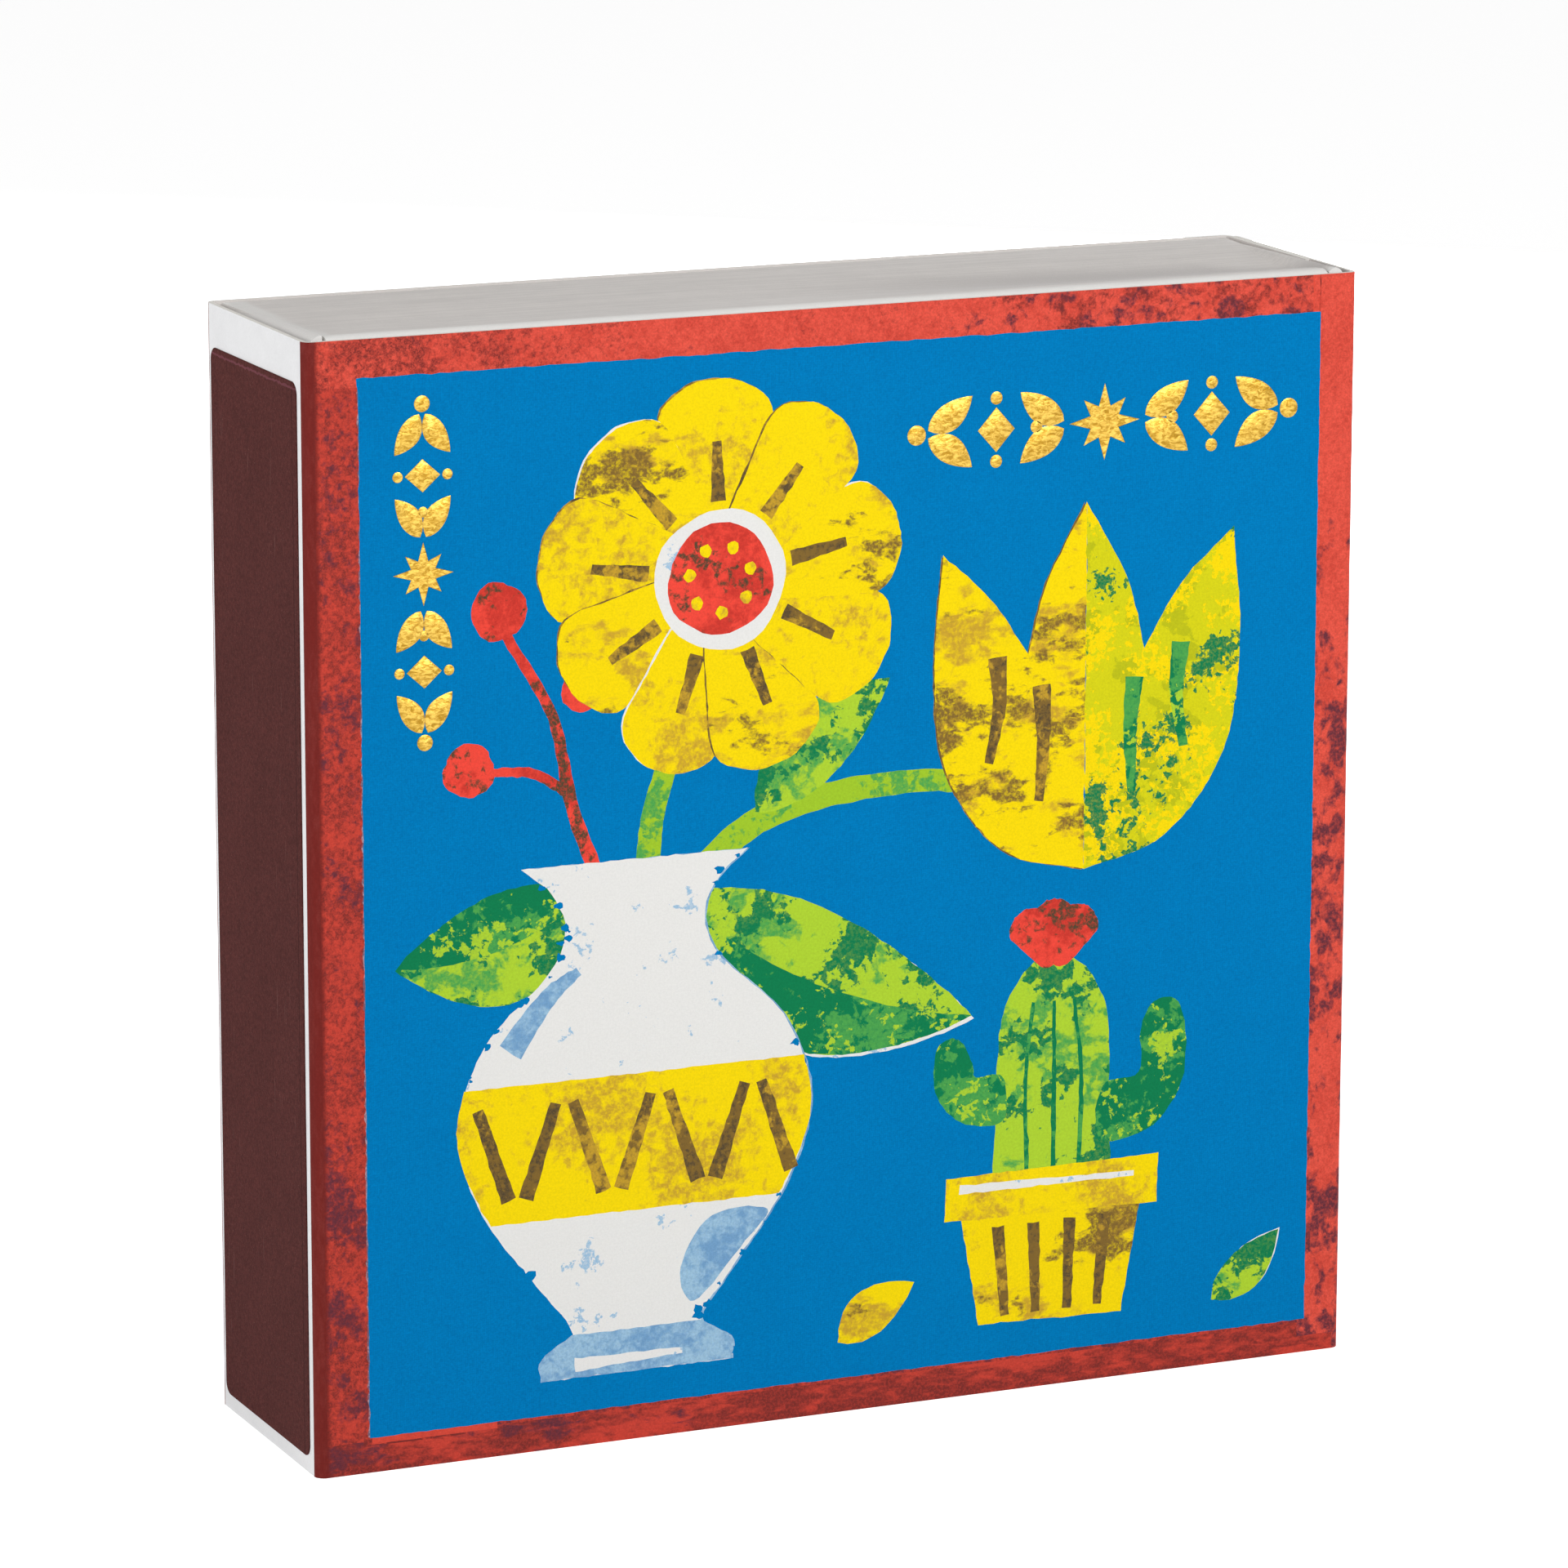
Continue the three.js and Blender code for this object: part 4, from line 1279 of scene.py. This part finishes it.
ink(
    "lime", INK_LIME,
    Mottle(INK_OLIVE, 0.42, 4.0, 0.4, 3, soft=0.012, thin=0.85, shift=40),
    Mottle(INK_YELLOW, 0.3, 0.6, 1.1, 9, soft=0.02, thin=0.9, shift=43),
    Mottle(INK_GREEN, 0.1, 0.8, 1.3, 7, soft=0.02, thin=0.8, shift=47),
    screen=0.02,
)
ink("green", INK_GREEN, Mottle(INK_LEAF_MID, 0.3, 0.8, 0.6, soft=0.08, shift=50))
ink(
    "brown", INK_BROWN,
    Mottle(INK_CHARCOAL, 0.42, 0.5, 0.5, soft=0.1, thin=0.4, shift=3),
    Mottle(INK_OCHRE, 0.25, 0.8, 0.8, soft=0.1, shift=58),
)
ink(
    "coral", INK_CORAL,
    Mottle(INK_CORAL_DEEP, 0.35, 1.0, 0.9, soft=0.14, shift=9),
    Mottle(INK_CHARCOAL, 0.1, 0.9, 1.2, thin=0.4, shift=61),
)

sleeve_piece(sleeve_materials)
gold = foil_material()
foil_piece("foil_band_top", foil_figures(7.2), (26.2, 92.4), False, gold)
foil_piece("foil_band_side", foil_figures(5.8), (-41.4, 83.2), True, gold)
coat = striker_material()
striker_piece("striker_strip_left", "striker_left", coat)
striker_piece("striker_strip_right", "striker_right", coat)
tray_piece(tray_material())
match_pieces([wood_material(), head_material()])


# The studio

SKY_LIGHT = 0.28
FLOOR_GLOW = 0.68
FLOOR_REACH = 6.0  # from its middle to its edges, in metres
FLOOR_DROP = 0.02 * MM  # how far it lies below the box


def light(name, place, size, power):
    """A lamp that is turned to the middle of the box."""
    data = bpy.data.lights.new(name, "AREA")
    data.shape = "RECTANGLE"
    data.size, data.size_y = size
    data.energy = power
    made = placed(name, data)
    made.location = place
    made.rotation_euler = (Vector((0, 0, HEIGHT / 2)) - Vector(place)).to_track_quat("-Z", "Y").to_euler()


def seen_directly(tree):
    """1 for rays that show the studio itself: from the camera, in a gloss or through glass."""
    path = new_node(tree, "LightPath").outputs
    found = path["Is Camera Ray"]
    for kind in ("Is Glossy Ray", "Is Transmission Ray"):
        found = new_node(tree, "Math", {0: found, 1: path[kind]}, operation="MAXIMUM").outputs[0]
    return found


def studio():
    mesh = bmesh.new()
    bmesh.ops.create_grid(mesh, x_segments=1, y_segments=1, size=FLOOR_REACH)
    floor = shaped("floor", mesh)
    floor.location.z = -FLOOR_DROP
    material = bpy.data.materials.new("floor")
    material.use_nodes = True
    tree = material.node_tree
    glow = new_node(tree, "Math", {0: seen_directly(tree), 1: FLOOR_GLOW}, operation="MULTIPLY").outputs[0]
    feed(tree, tree.nodes["Principled BSDF"], {
        "Base Color": (0.9, 0.9, 0.9, 1), "Roughness": 0.9, "Specular IOR Level": 0.1,
        "Emission Color": (1, 1, 1, 1), "Emission Strength": glow,
    })
    floor.data.materials.append(material)

    light("front", (0.15, -0.5, 0.34), (0.26, 0.26), 2.12)
    light("left", (-0.62, -0.1, 0.22), (0.34, 0.34), 1.78)
    light("back", (0.46, 0.56, 0.1), (0.4, 0.2), 2.3)

    world = bpy.data.worlds.new("studio")
    bpy.context.scene.world = world
    world.use_nodes = True
    tree = world.node_tree
    strength = new_node(tree, "MapRange", {"To Min": SKY_LIGHT, "To Max": 1.0, "Value": seen_directly(tree)})
    feed(tree, tree.nodes["Background"], {"Color": (1, 1, 1, 1), "Strength": strength.outputs["Result"]})
    bpy.context.scene.view_settings.view_transform = "Standard"


def camera():
    """The photograph's view, from the fit of the box's seven visible corners."""
    image_width = 1920
    focal_pixels = 9299
    sensor = 36
    yaw, pitch, roll = math.radians(23.72), math.radians(12.55), math.radians(0.07)
    ahead = Vector((math.sin(yaw) * math.cos(pitch), math.cos(yaw) * math.cos(pitch), -math.sin(pitch)))
    data = bpy.data.cameras.new("camera")
    data.sensor_width = sensor
    data.lens = focal_pixels / image_width * sensor
    data.clip_start, data.clip_end = 0.01, 100
    made = placed("camera", data)
    made.location = Vector((-2.6664, -5.9346, 2.0228)) * 2 * HALF_WIDTH + Vector((0, -HALF_DEPTH, 0))
    turn = ahead.to_track_quat("-Z", "Y").to_matrix() @ Matrix.Rotation(roll, 3, "Z")
    made.rotation_euler = turn.to_euler()
    bpy.context.scene.camera = made


studio()
camera()
